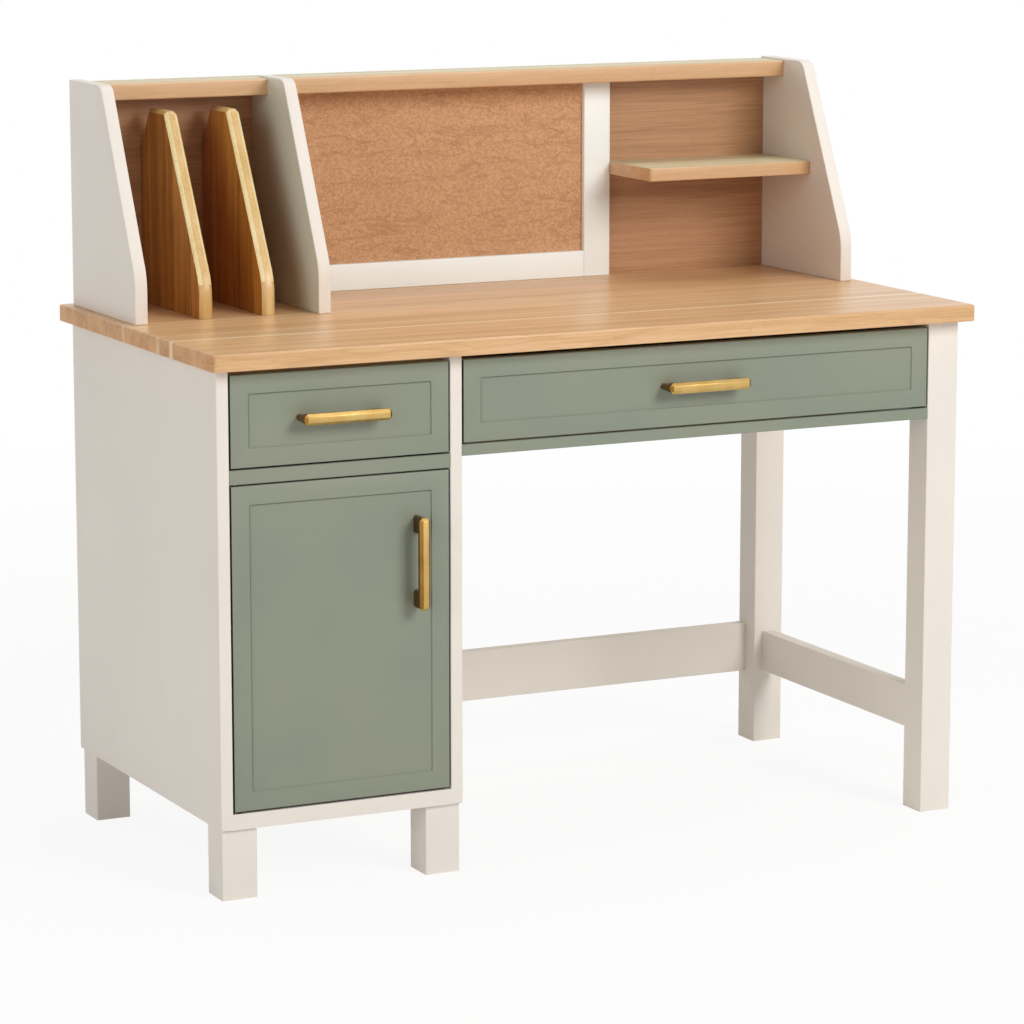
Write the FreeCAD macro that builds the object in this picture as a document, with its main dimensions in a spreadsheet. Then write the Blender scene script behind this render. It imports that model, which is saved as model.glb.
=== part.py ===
"""Student desk with hutch: a pedestal desk with two drawers, a cupboard and a low hutch.

Frame: +Z up, the front faces -Y, and the origin is on the floor under the middle of the desktop.
All sizes are millimetres. The driving dimensions are cells of the sheet Sizes; the names under
DERIVED are formulas of those cells, and every piece takes its size and place from both.
"""

import FreeCAD, Part
import Sketcher
import os
import re

DIMENSIONS = {
    # desktop
    "desktop_width": (1200, "desktop, left to right"),
    "desktop_depth": (600, "desktop, front to back"),
    "desktop_height": (762, "floor to writing surface"),
    "desktop_thickness": (24, "solid stave desktop"),
    "desktop_corner": (7, "radius of the desktop corners in plan"),
    "desktop_bevel": (2, "bevelled rims of the desktop"),
    "side_overhang": (14, "desktop past cabinet and legs, each side"),
    "front_overhang": (26, "desktop past cabinet and legs, front"),
    "rear_overhang": (20, "desktop past cabinet and legs, back"),
    # common joinery
    "edge_round": (1.5, "eased edges of painted pieces"),
    "edge_bevel": (1.2, "bevelled edges of shaped pieces"),
    "fine_bevel": (0.8, "bevelled edges of the fronts and of the pinboard frame"),
    "housing": (6, "depth of housings in carcass boards"),
    "tenon_length": (20, "tenons in the legs"),
    "tenon_thickness": (10, "thickness of every tenon"),
    "tenon_shoulder": (8, "shoulder above and below a tenon"),
    "joint_clearance": (0.1, "play of boards and pins in their housings"),
    # cabinet
    "cabinet_width": (366, "cabinet, outside"),
    "board_thickness": (18, "cabinet sides"),
    "bottom_thickness": (22, "cabinet bottom"),
    "subtop_thickness": (15, "board closing the cabinet under the desktop"),
    "backboard_thickness": (6, "cabinet back"),
    "foot_height": (100, "feet under the cabinet"),
    "foot_size": (52, "square feet"),
    "foot_inset": (3, "feet in from the cabinet sides"),
    "foot_setback": (6, "feet in from the cabinet front and back"),
    "foot_tenon": (22, "square stub tenons of the feet"),
    "foot_tenon_length": (14, "tenons of the feet in the cabinet bottom"),
    "shelf_thickness": (16, "loose shelf behind the door"),
    "shelf_rise": (225, "loose shelf above the cabinet bottom"),
    "shelf_setback": (60, "loose shelf behind the cabinet front"),
    "shelf_play": (0.5, "loose shelf to cabinet sides"),
    "cleat_width": (12, "cleats under the loose shelf, out from the cabinet sides"),
    "cleat_height": (20, "cleats under the loose shelf"),
    "cleat_inset": (10, "cleats from the front and back of the loose shelf"),
    # inset fronts
    "front_thickness": (18, "drawer fronts and door"),
    "front_gap": (2.5, "gap round the inset fronts"),
    "top_gap": (9, "gap between desktop and drawer fronts"),
    "panel_border": (26, "flat border round the sunk field"),
    "panel_sink": (2, "depth of the sunk field"),
    "field_corner": (4, "rounded corners of the sunk field"),
    "field_slope": (1.2, "sloping rim of the sunk field"),
    "small_front_height": (127, "small drawer front"),
    "centre_front_height": (116, "centre drawer front"),
    "drawer_rail_height": (20, "rail between small drawer and door"),
    "centre_rail_height": (16, "rail under the centre drawer"),
    "rail_depth": (60, "both rails, front to back"),
    # drawer boxes
    "box_board": (12, "drawer sides and back"),
    "box_length": (450, "drawer sides behind the front"),
    "box_rise": (10, "drawer sides above the front's lower edge"),
    "box_drop": (17, "drawer sides below the front's upper edge"),
    "box_bottom": (4, "drawer bottoms"),
    "box_bottom_rise": (9, "drawer bottom above the sides' lower edge"),
    "box_groove": (5, "depth of the grooves for drawer bottoms"),
    # drawer runners
    "runner_gap": (12.7, "between carcass and drawer side"),
    "runner_height": (35, "fixed channel"),
    "runner_length": (440, "fixed and moving channels"),
    "runner_setback": (4, "channels behind the drawer front"),
    "runner_sheet": (1.2, "sheet steel of the channels"),
    "runner_lip": (3, "turned-in lips of the fixed channel"),
    "runner_reach": (10.5, "fixed channel out from the carcass"),
    "runner_bite": (4, "moving channel short of the fixed web"),
    "runner_play": (0.4, "between fixed and moving channel"),
    # legs and stretchers
    "leg_size": (50, "square legs"),
    "stretcher_thickness": (20, "side and rear stretchers"),
    "side_stretcher_rise": (115, "side stretcher above the floor"),
    "side_stretcher_height": (64, "side stretcher"),
    "side_stretcher_inset": (15, "side stretcher from the legs' inner faces"),
    "rear_stretcher_rise": (111, "rear stretcher above the floor"),
    "rear_stretcher_height": (77, "rear stretcher"),
    "rear_inset": (2, "rear stretcher and apron from the legs' back faces"),
    "apron_height": (90, "aprons under the desktop"),
    "apron_thickness": (18, "aprons under the desktop"),
    # door
    "pivot_diameter": (5, "door pivot pins"),
    "pivot_reach": (12, "pins in the door and in the carcass"),
    "pivot_collar": (8, "diameter of the pins' collars"),
    "pivot_side": (9, "pivot axis from the door's hinged edge"),
    "pivot_front": (6, "pivot axis from the door's front face"),
    "pivot_play": (0.1, "pin in its bore, radial"),
    "door_bottom_gap": (3, "gap under the door"),
    "running_gap": (0.3, "between faces that pass or meet"),
    "catch_length": (40, "magnetic catch and its plate"),
    "catch_width": (14, "magnetic catch, out from the cabinet side"),
    "catch_depth": (16, "magnetic catch, front to back"),
    "catch_drop": (40, "catch below the top of the door"),
    "plate_width": (11, "catch plate"),
    "plate_thickness": (0.8, "catch plate"),
    # handles
    "handle_length": (130, "bar handles"),
    "handle_width": (16, "bar, across"),
    "handle_depth": (13, "bar, front to back"),
    "handle_bevel": (4, "bevels along the bar and at its ends"),
    "handle_standoff": (19, "bar clear of the front"),
    "post_length": (22, "handle posts, along the bar"),
    "post_width": (11, "handle posts, across the bar"),
    "door_handle_side": (49, "door handle from the door's free edge"),
    "door_handle_rise": (101, "middle of the door handle above the middle of the door"),
    "screw_diameter": (4, "handle screws"),
    "screw_bite": (12, "handle screws in the posts"),
    "screw_play": (0.2, "handle screws in the fronts, radial"),
    "screw_head": (8, "diameter of the handle screws' heads"),
    "screw_head_height": (2.5, "handle screws' heads"),
    "wood_screw_diameter": (5, "desktop screws"),
    "wood_screw_bite": (16, "desktop screws in the desktop"),
    "wood_screw_inset": (45, "desktop screws from the edges of the cabinet top"),
    # hutch
    "hutch_inset": (16, "hutch in from the desktop's sides"),
    "hutch_height": (328, "hutch panels above the desktop"),
    "hutch_depth": (252, "hutch panels at the foot"),
    "hutch_crown": (128, "hutch panels at the top"),
    "hutch_knee": (66, "upright foot of the panels' front edge"),
    "hutch_board": (19, "hutch panels"),
    "knee_round": (70, "radius where the front edge bends back"),
    "crown_round": (20, "radius of the panels' upper front corner"),
    "hutch_back": (9, "hutch back panel"),
    "hutch_rebate": (10, "back panel into the side panels"),
    "hutch_housing": (5, "top board and shelf into the side panels"),
    "hutch_tenon_width": (50, "stub tenons under the hutch panels"),
    "hutch_tenon_length": (14, "tenons of the hutch panels in the desktop"),
    "hutch_tenon_inset": (25, "tenons from the front and back of the hutch panels"),
    "top_board_depth": (71, "top board, front to back"),
    "top_board_thickness": (24, "top board"),
    "top_board_drop": (3, "top board below the panels' tops"),
    "top_board_round": (2.5, "rounding of the top board's front edges"),
    "first_slot": (86, "paper slot next to the left panel"),
    "middle_slot": (76, "paper slot between the paper dividers"),
    "last_slot": (60, "paper slot next to the divider panel"),
    "paper_board": (20, "paper dividers"),
    "paper_height": (286, "paper dividers"),
    "paper_setback": (16, "paper dividers behind the panels' feet"),
    "paper_knee": (50, "upright foot of the paper dividers"),
    "paper_lean": (129, "paper dividers' front edge leans back by"),
    "paper_crown": (66, "paper dividers' top edge"),
    "paper_round": (10, "radius of the paper dividers' upper front corner"),
    "paper_slant": (54, "height of the slanted rear corner"),
    "paper_groove": (3, "paper dividers and shelf into the back panel"),
    "paper_bevel": (2, "bevelled front edges of the paper dividers"),
    "stile_left": (241, "pinboard stile's left face from the desk's middle"),
    "stile_width": (44.5, "pinboard stile"),
    "frame_thickness": (16, "pinboard stile and rail"),
    "frame_rail": (40, "pinboard rail, floor of the frame"),
    "frame_lap": (6, "cork under the frame"),
    "cork_thickness": (8, "cork sheet"),
    "hutch_shelf_depth": (148, "hutch shelf in front of the back panel"),
    "hutch_shelf_rise": (156, "hutch shelf above the desktop, lower face"),
    "hutch_shelf_thickness": (20, "hutch shelf"),
    "hutch_shelf_round": (5, "rounded front corners of the hutch shelf"),
}

DERIVED = {
    "desk_underside": "desktop_height - desktop_thickness",
    "front_plane": "-desktop_depth / 2 + front_overhang",
    "rear_plane": "desktop_depth / 2 - rear_overhang",
    "carcass_depth": "rear_plane - front_plane",
    "cabinet_left": "-desktop_width / 2 + side_overhang",
    "cabinet_right": "cabinet_left + cabinet_width",
    "bay_left": "cabinet_left + board_thickness",
    "bay_right": "cabinet_right - board_thickness",
    "bay_width": "bay_right - bay_left",
    "floor_top": "foot_height + bottom_thickness",
    "back_face": "rear_plane - backboard_thickness",
    "subtop_bottom": "desk_underside - subtop_thickness",
    "fronts_top": "desk_underside - top_gap",
    "front_back": "front_plane + front_thickness",
    "small_bottom": "fronts_top - small_front_height",
    "rail_top": "small_bottom - front_gap",
    "rail_bottom": "rail_top - drawer_rail_height",
    "door_top": "rail_bottom - front_gap",
    "door_bottom": "floor_top + door_bottom_gap",
    "door_left": "bay_left + front_gap",
    "door_right": "bay_right - front_gap",
    "centre_bottom": "fronts_top - centre_front_height",
    "centre_rail_top": "centre_bottom - front_gap",
    "centre_rail_bottom": "centre_rail_top - centre_rail_height",
    "leg_right": "desktop_width / 2 - side_overhang",
    "leg_left": "leg_right - leg_size",
    "front_leg_back": "front_plane + leg_size",
    "rear_leg_front": "rear_plane - leg_size",
    "field_face": "front_plane + panel_sink",
    "pivot_x": "door_left + pivot_side",
    "pivot_y": "front_plane + pivot_front",
    "shelf_bottom": "floor_top + shelf_rise",
    "hutch_left": "-desktop_width / 2 + hutch_inset",
    "hutch_right": "desktop_width / 2 - hutch_inset",
    "hutch_top": "desktop_height + hutch_height",
    "hutch_front": "rear_plane - hutch_depth",
    "crown_front": "rear_plane - hutch_crown",
    "back_front": "rear_plane - hutch_back",
    "hutch_inner_left": "hutch_left + hutch_board",
    "hutch_inner_right": "hutch_right - hutch_board",
    "first_paper_left": "hutch_inner_left + first_slot",
    "second_paper_left": "first_paper_left + paper_board + middle_slot",
    "divider_left": "second_paper_left + paper_board + last_slot",
    "divider_right": "divider_left + hutch_board",
    "top_board_top": "hutch_top - top_board_drop",
    "top_board_bottom": "top_board_top - top_board_thickness",
    "top_board_front": "rear_plane - top_board_depth",
    "halving": "top_board_front + (back_front - top_board_front) / 2",
    "frame_front": "back_front - frame_thickness",
    "stile_right": "stile_left + stile_width",
    "rail_head": "desktop_height + frame_rail",
    "hutch_shelf_bottom": "desktop_height + hutch_shelf_rise",
}

AXES = {
    "x": FreeCAD.Vector(1, 0, 0),
    "y": FreeCAD.Vector(0, 1, 0),
    "z": FreeCAD.Vector(0, 0, 1),
}

doc = FreeCAD.newDocument("StudentDeskWithHutch")
sizes = doc.addObject("Spreadsheet::Sheet", "Sizes")
for row, (alias, (value, note)) in enumerate(DIMENSIONS.items(), start=1):
    sizes.set(f"A{row}", note)
    sizes.set(f"B{row}", str(value))
    sizes.setAlias(f"B{row}", alias)
doc.recompute()

corners = {}  # body name -> its corner as three formulas


# ---------------------------------------------------------------- formulas and bindings
def formula(text):
    """Turn a formula of dimension names into a FreeCAD expression."""

    def word(match):
        name = match.group(0)
        if name in DERIVED:
            return "(" + formula(DERIVED[name]) + ")"
        return "Sizes." + name if name in DIMENSIONS else name

    return re.sub(r"[A-Za-z_]\w*", word, str(text))


def number(text):
    """Value of a formula of dimension names."""
    return float(sizes.evalExpression(formula(text)))


def bind(thing, **properties):
    """Bind properties of an object to formulas; place_x, place_y, place_z set its Placement."""
    for name, text in properties.items():
        path = name.replace("place_", "Placement.Base.") if name.startswith("place_") else name
        thing.setExpression(path, formula(text) + " + 0")


def local(body, point):
    """A point given in the desk's frame as formulas in the body's own frame."""
    return [f"({value}) - ({origin})" for value, origin in zip(point, corners[body.Name])]


# ---------------------------------------------------------------- building blocks
def new_body(label, corner):
    """A PartDesign body whose own origin sits at the given corner of the piece."""
    body = doc.addObject("PartDesign::Body", label)
    body.Label = label
    corners[body.Name] = corner
    bind(body, place_x=corner[0], place_y=corner[1], place_z=corner[2])
    return body


def add_box(body, kind, size, corner):
    """Add or cut a box; kind is Additive or Subtractive."""
    box = body.newObject(f"PartDesign::{kind}Box", f"{body.Name}_{kind.lower()}_box")
    at = local(body, corner)
    bind(box, Length=size[0], Width=size[1], Height=size[2], place_x=at[0], place_y=at[1], place_z=at[2])
    return box


def add_cylinder(body, kind, diameter, length, start, axis):
    """Add or cut a cylinder that runs from start along +x, +y or +z."""
    rod = body.newObject(f"PartDesign::{kind}Cylinder", f"{body.Name}_{kind.lower()}_rod")
    rod.Placement = FreeCAD.Placement(FreeCAD.Vector(), FreeCAD.Rotation(AXES["z"], AXES[axis]))
    at = local(body, start)
    bind(rod, Radius=f"({diameter}) / 2", Height=length, place_x=at[0], place_y=at[1], place_z=at[2])
    return rod


def cut(body, size, corner):
    """Cut a box, such as a mortise, rebate or groove, out of a body."""
    return add_box(body, "Subtractive", size, corner)


def bore(body, diameter, length, start, axis):
    """Bore a round hole into a body."""
    return add_cylinder(body, "Subtractive", diameter, length, start, axis)


def hull_edges(shape, directions):
    """Names of the straight edges along the directions that lie on two faces of the shape's box."""
    box = shape.BoundBox
    limits = ((box.XMin, box.XMax), (box.YMin, box.YMax), (box.ZMin, box.ZMax))
    names = []
    for index, edge in enumerate(shape.Edges, start=1):
        ends = [vertex.Point for vertex in edge.Vertexes]
        if len(ends) != 2 or edge.Curve.TypeId != "Part::GeomLine":
            continue
        way = (ends[1] - ends[0]).normalize()
        if not any(abs(way.dot(AXES[axis])) > 0.999 for axis in directions):
            continue
        middle = (ends[0] + ends[1]) / 2
        touched = sum(min(abs(c - low), abs(c - high)) < 0.01 for c, (low, high) in zip(middle, limits))
        if touched >= 2:
            names.append(f"Edge{index}")
    return names


def edges_where(shape, test):
    """Names of the edges whose middle point passes a test."""
    return [
        f"Edge{index}"
        for index, edge in enumerate(shape.Edges, start=1)
        if test(edge, edge.valueAt((edge.FirstParameter + edge.LastParameter) / 2))
    ]


def dress(body, kind, edge_names, size):
    """Round (Fillet) or bevel (Chamfer) the named edges of a body's last feature."""
    base = body.Tip
    feature = body.newObject(f"PartDesign::{kind}", f"{body.Name}_{kind.lower()}")
    feature.Base = (base, edge_names)
    bind(feature, **{"Radius" if kind == "Fillet" else "Size": size})
    doc.recompute()


def board(label, size, corner, rounded="", bevelled=""):
    """A flat board; its outer edges along the named directions are rounded or bevelled."""
    body = new_body(label, corner)
    add_box(body, "Additive", size, corner)
    doc.recompute()
    if rounded:
        dress(body, "Fillet", hull_edges(body.Tip.Shape, rounded), "edge_round")
    if bevelled:
        dress(body, "Chamfer", hull_edges(body.Tip.Shape, bevelled), "fine_bevel")
    return body


def profile(body, plane, points, length, reverse=False):
    """Pad a closed outline of straight edges.

    plane is XY, XZ or YZ; points are pairs of formulas in the desk's frame along that plane's axes.
    Every corner of the sketch is held by two dimensions from the body's origin.
    """
    sketch = body.newObject("Sketcher::SketchObject", body.Name + "_outline")
    role = plane + "_Plane"
    support = next(part for part in body.Origin.OriginFeatures if part.Role == role)
    sketch.AttachmentSupport = (support, [""])
    sketch.MapMode = "FlatFace"
    first, second = ("XYZ".index(letter) for letter in plane)
    origin = corners[body.Name]
    places = [(f"({u}) - ({origin[first]})", f"({v}) - ({origin[second]})") for u, v in points]
    corner_points = [FreeCAD.Vector(number(u), number(v), 0) for u, v in places]
    count = len(points)
    for index in range(count):
        line = Part.LineSegment(corner_points[index], corner_points[(index + 1) % count])
        sketch.addGeometry(line, False)
    for index in range(count):
        sketch.addConstraint(Sketcher.Constraint("Coincident", index, 2, (index + 1) % count, 1))
    for index, (u, v) in enumerate(places):
        hold(sketch, "DistanceX", index, u, corner_points[index].x)
        hold(sketch, "DistanceY", index, v, corner_points[index].y)
    pad = body.newObject("PartDesign::Pad", body.Name + "_pad")
    pad.Profile = sketch
    pad.Reversed = reverse
    bind(pad, Length=length)
    doc.recompute()
    return pad


def hold(sketch, kind, index, text, value):
    """Dimension the start of line index from the sketch's origin and bind it to a formula."""
    name = f"{kind}_{index}"
    sketch.addConstraint(Sketcher.Constraint(kind, -1, 1, index, 1, value))
    sketch.renameConstraint(sketch.ConstraintCount - 1, name)
    sketch.setExpression(f"Constraints.{name}", formula(text) + " + 0")


def group(label, members):
    """One node of several identical loose solids."""
    compound = doc.addObject("Part::Compound", label)
    compound.Label = label
    compound.Links = members
    return compound


# ---------------------------------------------------------------- desktop, legs and stretchers
def desktop():
    """Solid desktop with rounded corners and bevelled rims."""
    corner = ("-desktop_width / 2", "-desktop_depth / 2", "desk_underside")
    body = board("desktop", ("desktop_width", "desktop_depth", "desktop_thickness"), corner)
    dress(body, "Fillet", hull_edges(body.Tip.Shape, "z"), "desktop_corner")
    top = number("desktop_thickness")
    rims = edges_where(body.Tip.Shape, lambda edge, mid: min(abs(mid.z), abs(mid.z - top)) < 0.01)
    dress(body, "Chamfer", rims, "desktop_bevel")


def leg(label, front):
    """A square leg with an eased foot; the mortises are cut by the pieces that enter it."""
    return board(label, ("leg_size", "leg_size", "desk_underside"), ("leg_left", front, "0"), rounded="z")


def mortise(body, size, corner):
    """A blind slot for a tenon, a little longer and wider than the tenon."""
    grown = [f"({value}) + 2 * joint_clearance" for value in size]
    moved = [f"({value}) - joint_clearance" for value in corner]
    return cut(body, grown, moved)


def cross_piece(label, size, corner, axis, ends, bevelled=""):
    """A rail or stretcher with a tenon at each named end.

    size and corner give the piece between its shoulders. ends holds, for each tenon, which end it
    is on (low or high), its length and the body that takes it. A thin rail has no shoulder above
    and below its tenon.
    """
    body = board(label, size, corner, bevelled=bevelled)
    along = "xyz".index(axis)
    across = 1 - along
    shoulder = "tenon_shoulder" if number(size[2]) > 3 * number("tenon_shoulder") else "0"
    for side, length, taker in ends:
        tenon = list(size)
        tenon[along] = length
        tenon[across] = "tenon_thickness"
        tenon[2] = f"({size[2]}) - 2 * {shoulder}"
        place = list(corner)
        place[along] += f" - ({length})" if side == "low" else f" + ({size[along]})"
        place[across] += f" + (({size[across]}) - tenon_thickness) / 2"
        place[2] += f" + {shoulder}"
        add_box(body, "Additive", tenon, place)
        mortise(taker, tenon, place)
    doc.recompute()
    return body


def leg_frame(cabinet_right_side):
    """The two right-hand legs with their aprons, stretchers and the rail under the drawer."""
    front_leg = leg("front_leg", "front_plane")
    rear_leg = leg("rear_leg", "rear_leg_front")
    span_x = "leg_left - cabinet_right"
    span_y = "rear_leg_front - front_leg_back"
    both_legs = [("low", "tenon_length", front_leg), ("high", "tenon_length", rear_leg)]
    cross_piece(
        "side_stretcher",
        ("stretcher_thickness", span_y, "side_stretcher_height"),
        ("leg_left + side_stretcher_inset", "front_leg_back", "side_stretcher_rise"),
        "y",
        both_legs,
        bevelled="y",
    )
    cross_piece(
        "right_apron",
        ("apron_thickness", span_y, "apron_height"),
        ("leg_left", "front_leg_back", "desk_underside - apron_height"),
        "y",
        both_legs,
    )
    to_rear_leg = [("low", "housing", cabinet_right_side), ("high", "tenon_length", rear_leg)]
    cross_piece(
        "rear_stretcher",
        (span_x, "stretcher_thickness", "rear_stretcher_height"),
        ("cabinet_right", "rear_plane - rear_inset - stretcher_thickness", "rear_stretcher_rise"),
        "x",
        to_rear_leg,
        bevelled="x",
    )
    cross_piece(
        "rear_apron",
        (span_x, "apron_thickness", "apron_height"),
        ("cabinet_right", "rear_plane - rear_inset - apron_thickness", "desk_underside - apron_height"),
        "x",
        to_rear_leg,
    )
    cross_piece(
        "centre_rail",
        (span_x, "rail_depth", "centre_rail_height"),
        ("cabinet_right", "front_plane", "centre_rail_bottom"),
        "x",
        [("low", "housing", cabinet_right_side), ("high", "tenon_length", front_leg)],
        bevelled="x",
    )


# ---------------------------------------------------------------- cabinet
def cabinet_side(label, left, inner_face):
    """A cabinet side with its rear rebate; inner_face is low or high along x."""
    size = ("board_thickness", "carcass_depth", "desk_underside - foot_height")
    side = board(label, size, (left, "front_plane", "foot_height"), rounded="xz")
    inward = f"({left}) + board_thickness - housing" if inner_face == "high" else left
    cut(
        side,
        ("housing", "backboard_thickness", "desk_underside - foot_height"),
        (inward, "back_face", "foot_height"),
    )
    return side


def housed_board(label, size, corner, takers):
    """A board whose two ends enter shallow housings in the boards left and right of it."""
    long_size = (f"({size[0]}) + 2 * housing", size[1], size[2])
    long_corner = (f"({corner[0]}) - housing", corner[1], corner[2])
    body = board(label, long_size, long_corner)
    left_taker, right_taker = takers
    cut(left_taker, ("housing", size[1], size[2]), long_corner)
    cut(right_taker, ("housing", size[1], size[2]), (f"({corner[0]}) + ({size[0]})", corner[1], corner[2]))
    return body


def cabinet():
    """The cabinet carcass on its four feet, with the loose shelf on its cleats."""
    left_side = cabinet_side("cabinet_left_side", "cabinet_left", "high")
    right_side = cabinet_side("cabinet_right_side", "bay_right", "low")
    sides = (left_side, right_side)
    inside_depth = "back_face - front_plane"
    bottom = housed_board(
        "cabinet_bottom",
        ("bay_width", inside_depth, "bottom_thickness"),
        ("bay_left", "front_plane", "foot_height"),
        sides,
    )
    rail = cross_piece(
        "drawer_rail",
        ("bay_width", "rail_depth", "drawer_rail_height"),
        ("bay_left", "front_plane", "rail_bottom"),
        "x",
        [("low", "housing", left_side), ("high", "housing", right_side)],
        bevelled="x",
    )
    subtop = housed_board(
        "cabinet_top",
        ("bay_width", "back_face - front_back - front_gap", "subtop_thickness"),
        ("bay_left", "front_back + front_gap", "subtop_bottom"),
        sides,
    )
    board(
        "cabinet_back",
        ("bay_width + 2 * housing", "backboard_thickness", "desk_underside - foot_height"),
        ("bay_left - housing", "back_face", "foot_height"),
    )
    loose_shelf()
    feet(bottom)
    desktop_screws(subtop)
    return right_side, bottom, rail


def feet(bottom):
    """Four square feet under the cabinet's corners, each with a stub tenon in the cabinet bottom."""
    rows = {"front": "front_plane + foot_setback", "rear": "rear_plane - foot_setback - foot_size"}
    columns = {"left": "cabinet_left + foot_inset", "right": "cabinet_right - foot_inset - foot_size"}
    size = ("foot_size", "foot_size", "foot_height")
    tenon = ("foot_tenon", "foot_tenon", "foot_tenon_length")
    shoulder = "(foot_size - foot_tenon) / 2"
    for row, y in rows.items():
        for column, x in columns.items():
            foot = board(f"foot_{row}_{column}", size, (x, y, "0"), rounded="z")
            place = (f"{x} + {shoulder}", f"{y} + {shoulder}", "foot_height")
            add_box(foot, "Additive", tenon, place)
            mortise(bottom, tenon, place)


def loose_shelf():
    """The shelf behind the door, lying on a cleat along each cabinet side."""
    depth = "back_face - front_plane - shelf_setback - shelf_play"
    front = "front_plane + shelf_setback"
    board(
        "cabinet_shelf",
        ("bay_width - 2 * shelf_play", depth, "shelf_thickness"),
        ("bay_left + shelf_play", front, "shelf_bottom"),
        bevelled="x",
    )
    cleats = []
    for x in ("bay_left", "bay_right - cleat_width"):
        cleat = doc.addObject("Part::Box", "cleat")
        bind(cleat, Length="cleat_width", Width=f"{depth} - 2 * cleat_inset", Height="cleat_height")
        bind(cleat, place_x=x, place_y=f"{front} + cleat_inset", place_z="shelf_bottom - cleat_height")
        cleats.append(cleat)
    group("shelf_cleats", cleats)


def desktop_screws(subtop):
    """Four screws up through the cabinet top into the desktop."""
    screws = []
    reach = "subtop_thickness + wood_screw_bite"
    hole = "wood_screw_diameter + 2 * joint_clearance"
    for x in ("bay_left + wood_screw_inset", "bay_right - wood_screw_inset"):
        for y in ("front_back + front_gap + wood_screw_inset", "back_face - wood_screw_inset"):
            screws.append(screw("wood_screw_diameter", reach, (x, y, "subtop_bottom"), "z", 1))
            bore(subtop, hole, "subtop_thickness", (x, y, "subtop_bottom"), "z")
            bore(doc.desktop, hole, "wood_screw_bite + joint_clearance", (x, y, "desk_underside"), "z")
    group("desktop_screws", screws)


def screw(diameter, reach, seat, axis, way):
    """A pan-head screw whose head bears on the seat and whose shank runs way * axis from it."""
    turn = FreeCAD.Rotation(AXES["z"], AXES[axis] * way)
    parts = []
    for name, radius, length, offset in (
        ("shank", f"({diameter}) / 2", reach, "0"),
        ("head", "screw_head / 2", "screw_head_height", "-screw_head_height"),
    ):
        rod = doc.addObject("Part::Cylinder", f"screw_{name}")
        rod.Placement = FreeCAD.Placement(FreeCAD.Vector(), turn)
        place = list(seat)
        place["xyz".index(axis)] += f" + {way} * ({offset})"
        bind(rod, Radius=radius, Height=length, place_x=place[0], place_y=place[1], place_z=place[2])
        parts.append(rod)
    whole = doc.addObject("Part::Fuse", "screw")
    whole.Base, whole.Tool = parts
    return whole


# ---------------------------------------------------------------- inset fronts and handles
def inset_front(label, left, right, bottom, top):
    """A drawer front or door: a board with bevelled edges and a sunk field with a sloping rim."""
    width, height = f"({right}) - ({left})", f"({top}) - ({bottom})"
    size, corner = (width, "front_thickness", height), (left, "front_plane", bottom)
    body = board(label, size, corner, bevelled="xz")
    cut(
        body,
        (f"{width} - 2 * panel_border", "panel_sink", f"{height} - 2 * panel_border"),
        (f"({left}) + panel_border", "front_plane", f"({bottom}) + panel_border"),
    )
    doc.recompute()
    border, sink = number("panel_border"), number("panel_sink")
    wide, tall = number(width) - border, number(height) - border

    def on_field(mid):
        across = min(abs(mid.x - border), abs(mid.x - wide)) < 0.01
        upright = min(abs(mid.z - border), abs(mid.z - tall)) < 0.01
        return across, upright

    def in_corner(edge, mid):
        return all(on_field(mid)) and abs(mid.y - sink / 2) < 0.01

    dress(body, "Fillet", edges_where(body.Tip.Shape, in_corner), "field_corner")

    def on_rim(edge, mid):
        inside = border - 0.01 < mid.x < wide + 0.01 and border - 0.01 < mid.z < tall + 0.01
        return inside and abs(mid.y) < 0.01

    dress(body, "Chamfer", edges_where(body.Tip.Shape, on_rim), "field_slope")
    return body


def handle(label, front, middle_x, middle_z, axis):
    """A bevelled bar on two posts, screwed on through the front; axis is x or z along the bar."""
    along = "xz".index(axis)
    middle = (middle_x, middle_z)
    base = "field_face"
    bar_front = f"{base} - handle_standoff - handle_depth"

    def sized(length, width, depth):
        span = (length, width) if along == 0 else (width, length)
        return (span[0], depth, span[1])

    def placed(shift_along, length, width, y):
        span = (length, width) if along == 0 else (width, length)
        shifts = (shift_along, "0") if along == 0 else ("0", shift_along)
        x, z = (f"({m}) + ({s}) - ({w}) / 2" for m, s, w in zip(middle, shifts, span))
        return (x, y, z)

    corner = placed("0", "handle_length", "handle_width", bar_front)
    body = new_body(label, corner)
    add_box(body, "Additive", sized("handle_length", "handle_width", "handle_depth"), corner)
    doc.recompute()
    dress(body, "Chamfer", hull_edges(body.Tip.Shape, "xyz"), "handle_bevel")
    screws = []
    for way in (-1, 1):
        shift = f"{way} * (handle_length - post_length) / 2"
        post_y = f"{base} - handle_standoff - handle_bevel"
        post = sized("post_length", "post_width", "handle_standoff + handle_bevel")
        add_box(body, "Additive", post, placed(shift, "post_length", "post_width", post_y))
        x, z = (placed(shift, "0", "0", "0")[index] for index in (0, 2))
        bore(body, "screw_diameter + 2 * joint_clearance", "screw_bite", (x, f"{base} - screw_bite", z), "y")
        bore(front, "screw_diameter + 2 * screw_play", "front_thickness", (x, "front_plane", z), "y")
        reach = "front_thickness - panel_sink + screw_bite - joint_clearance"
        screws.append(screw("screw_diameter", reach, (x, "front_back", z), "y", -1))
    doc.recompute()
    group(label + "_screws", screws)


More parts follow.
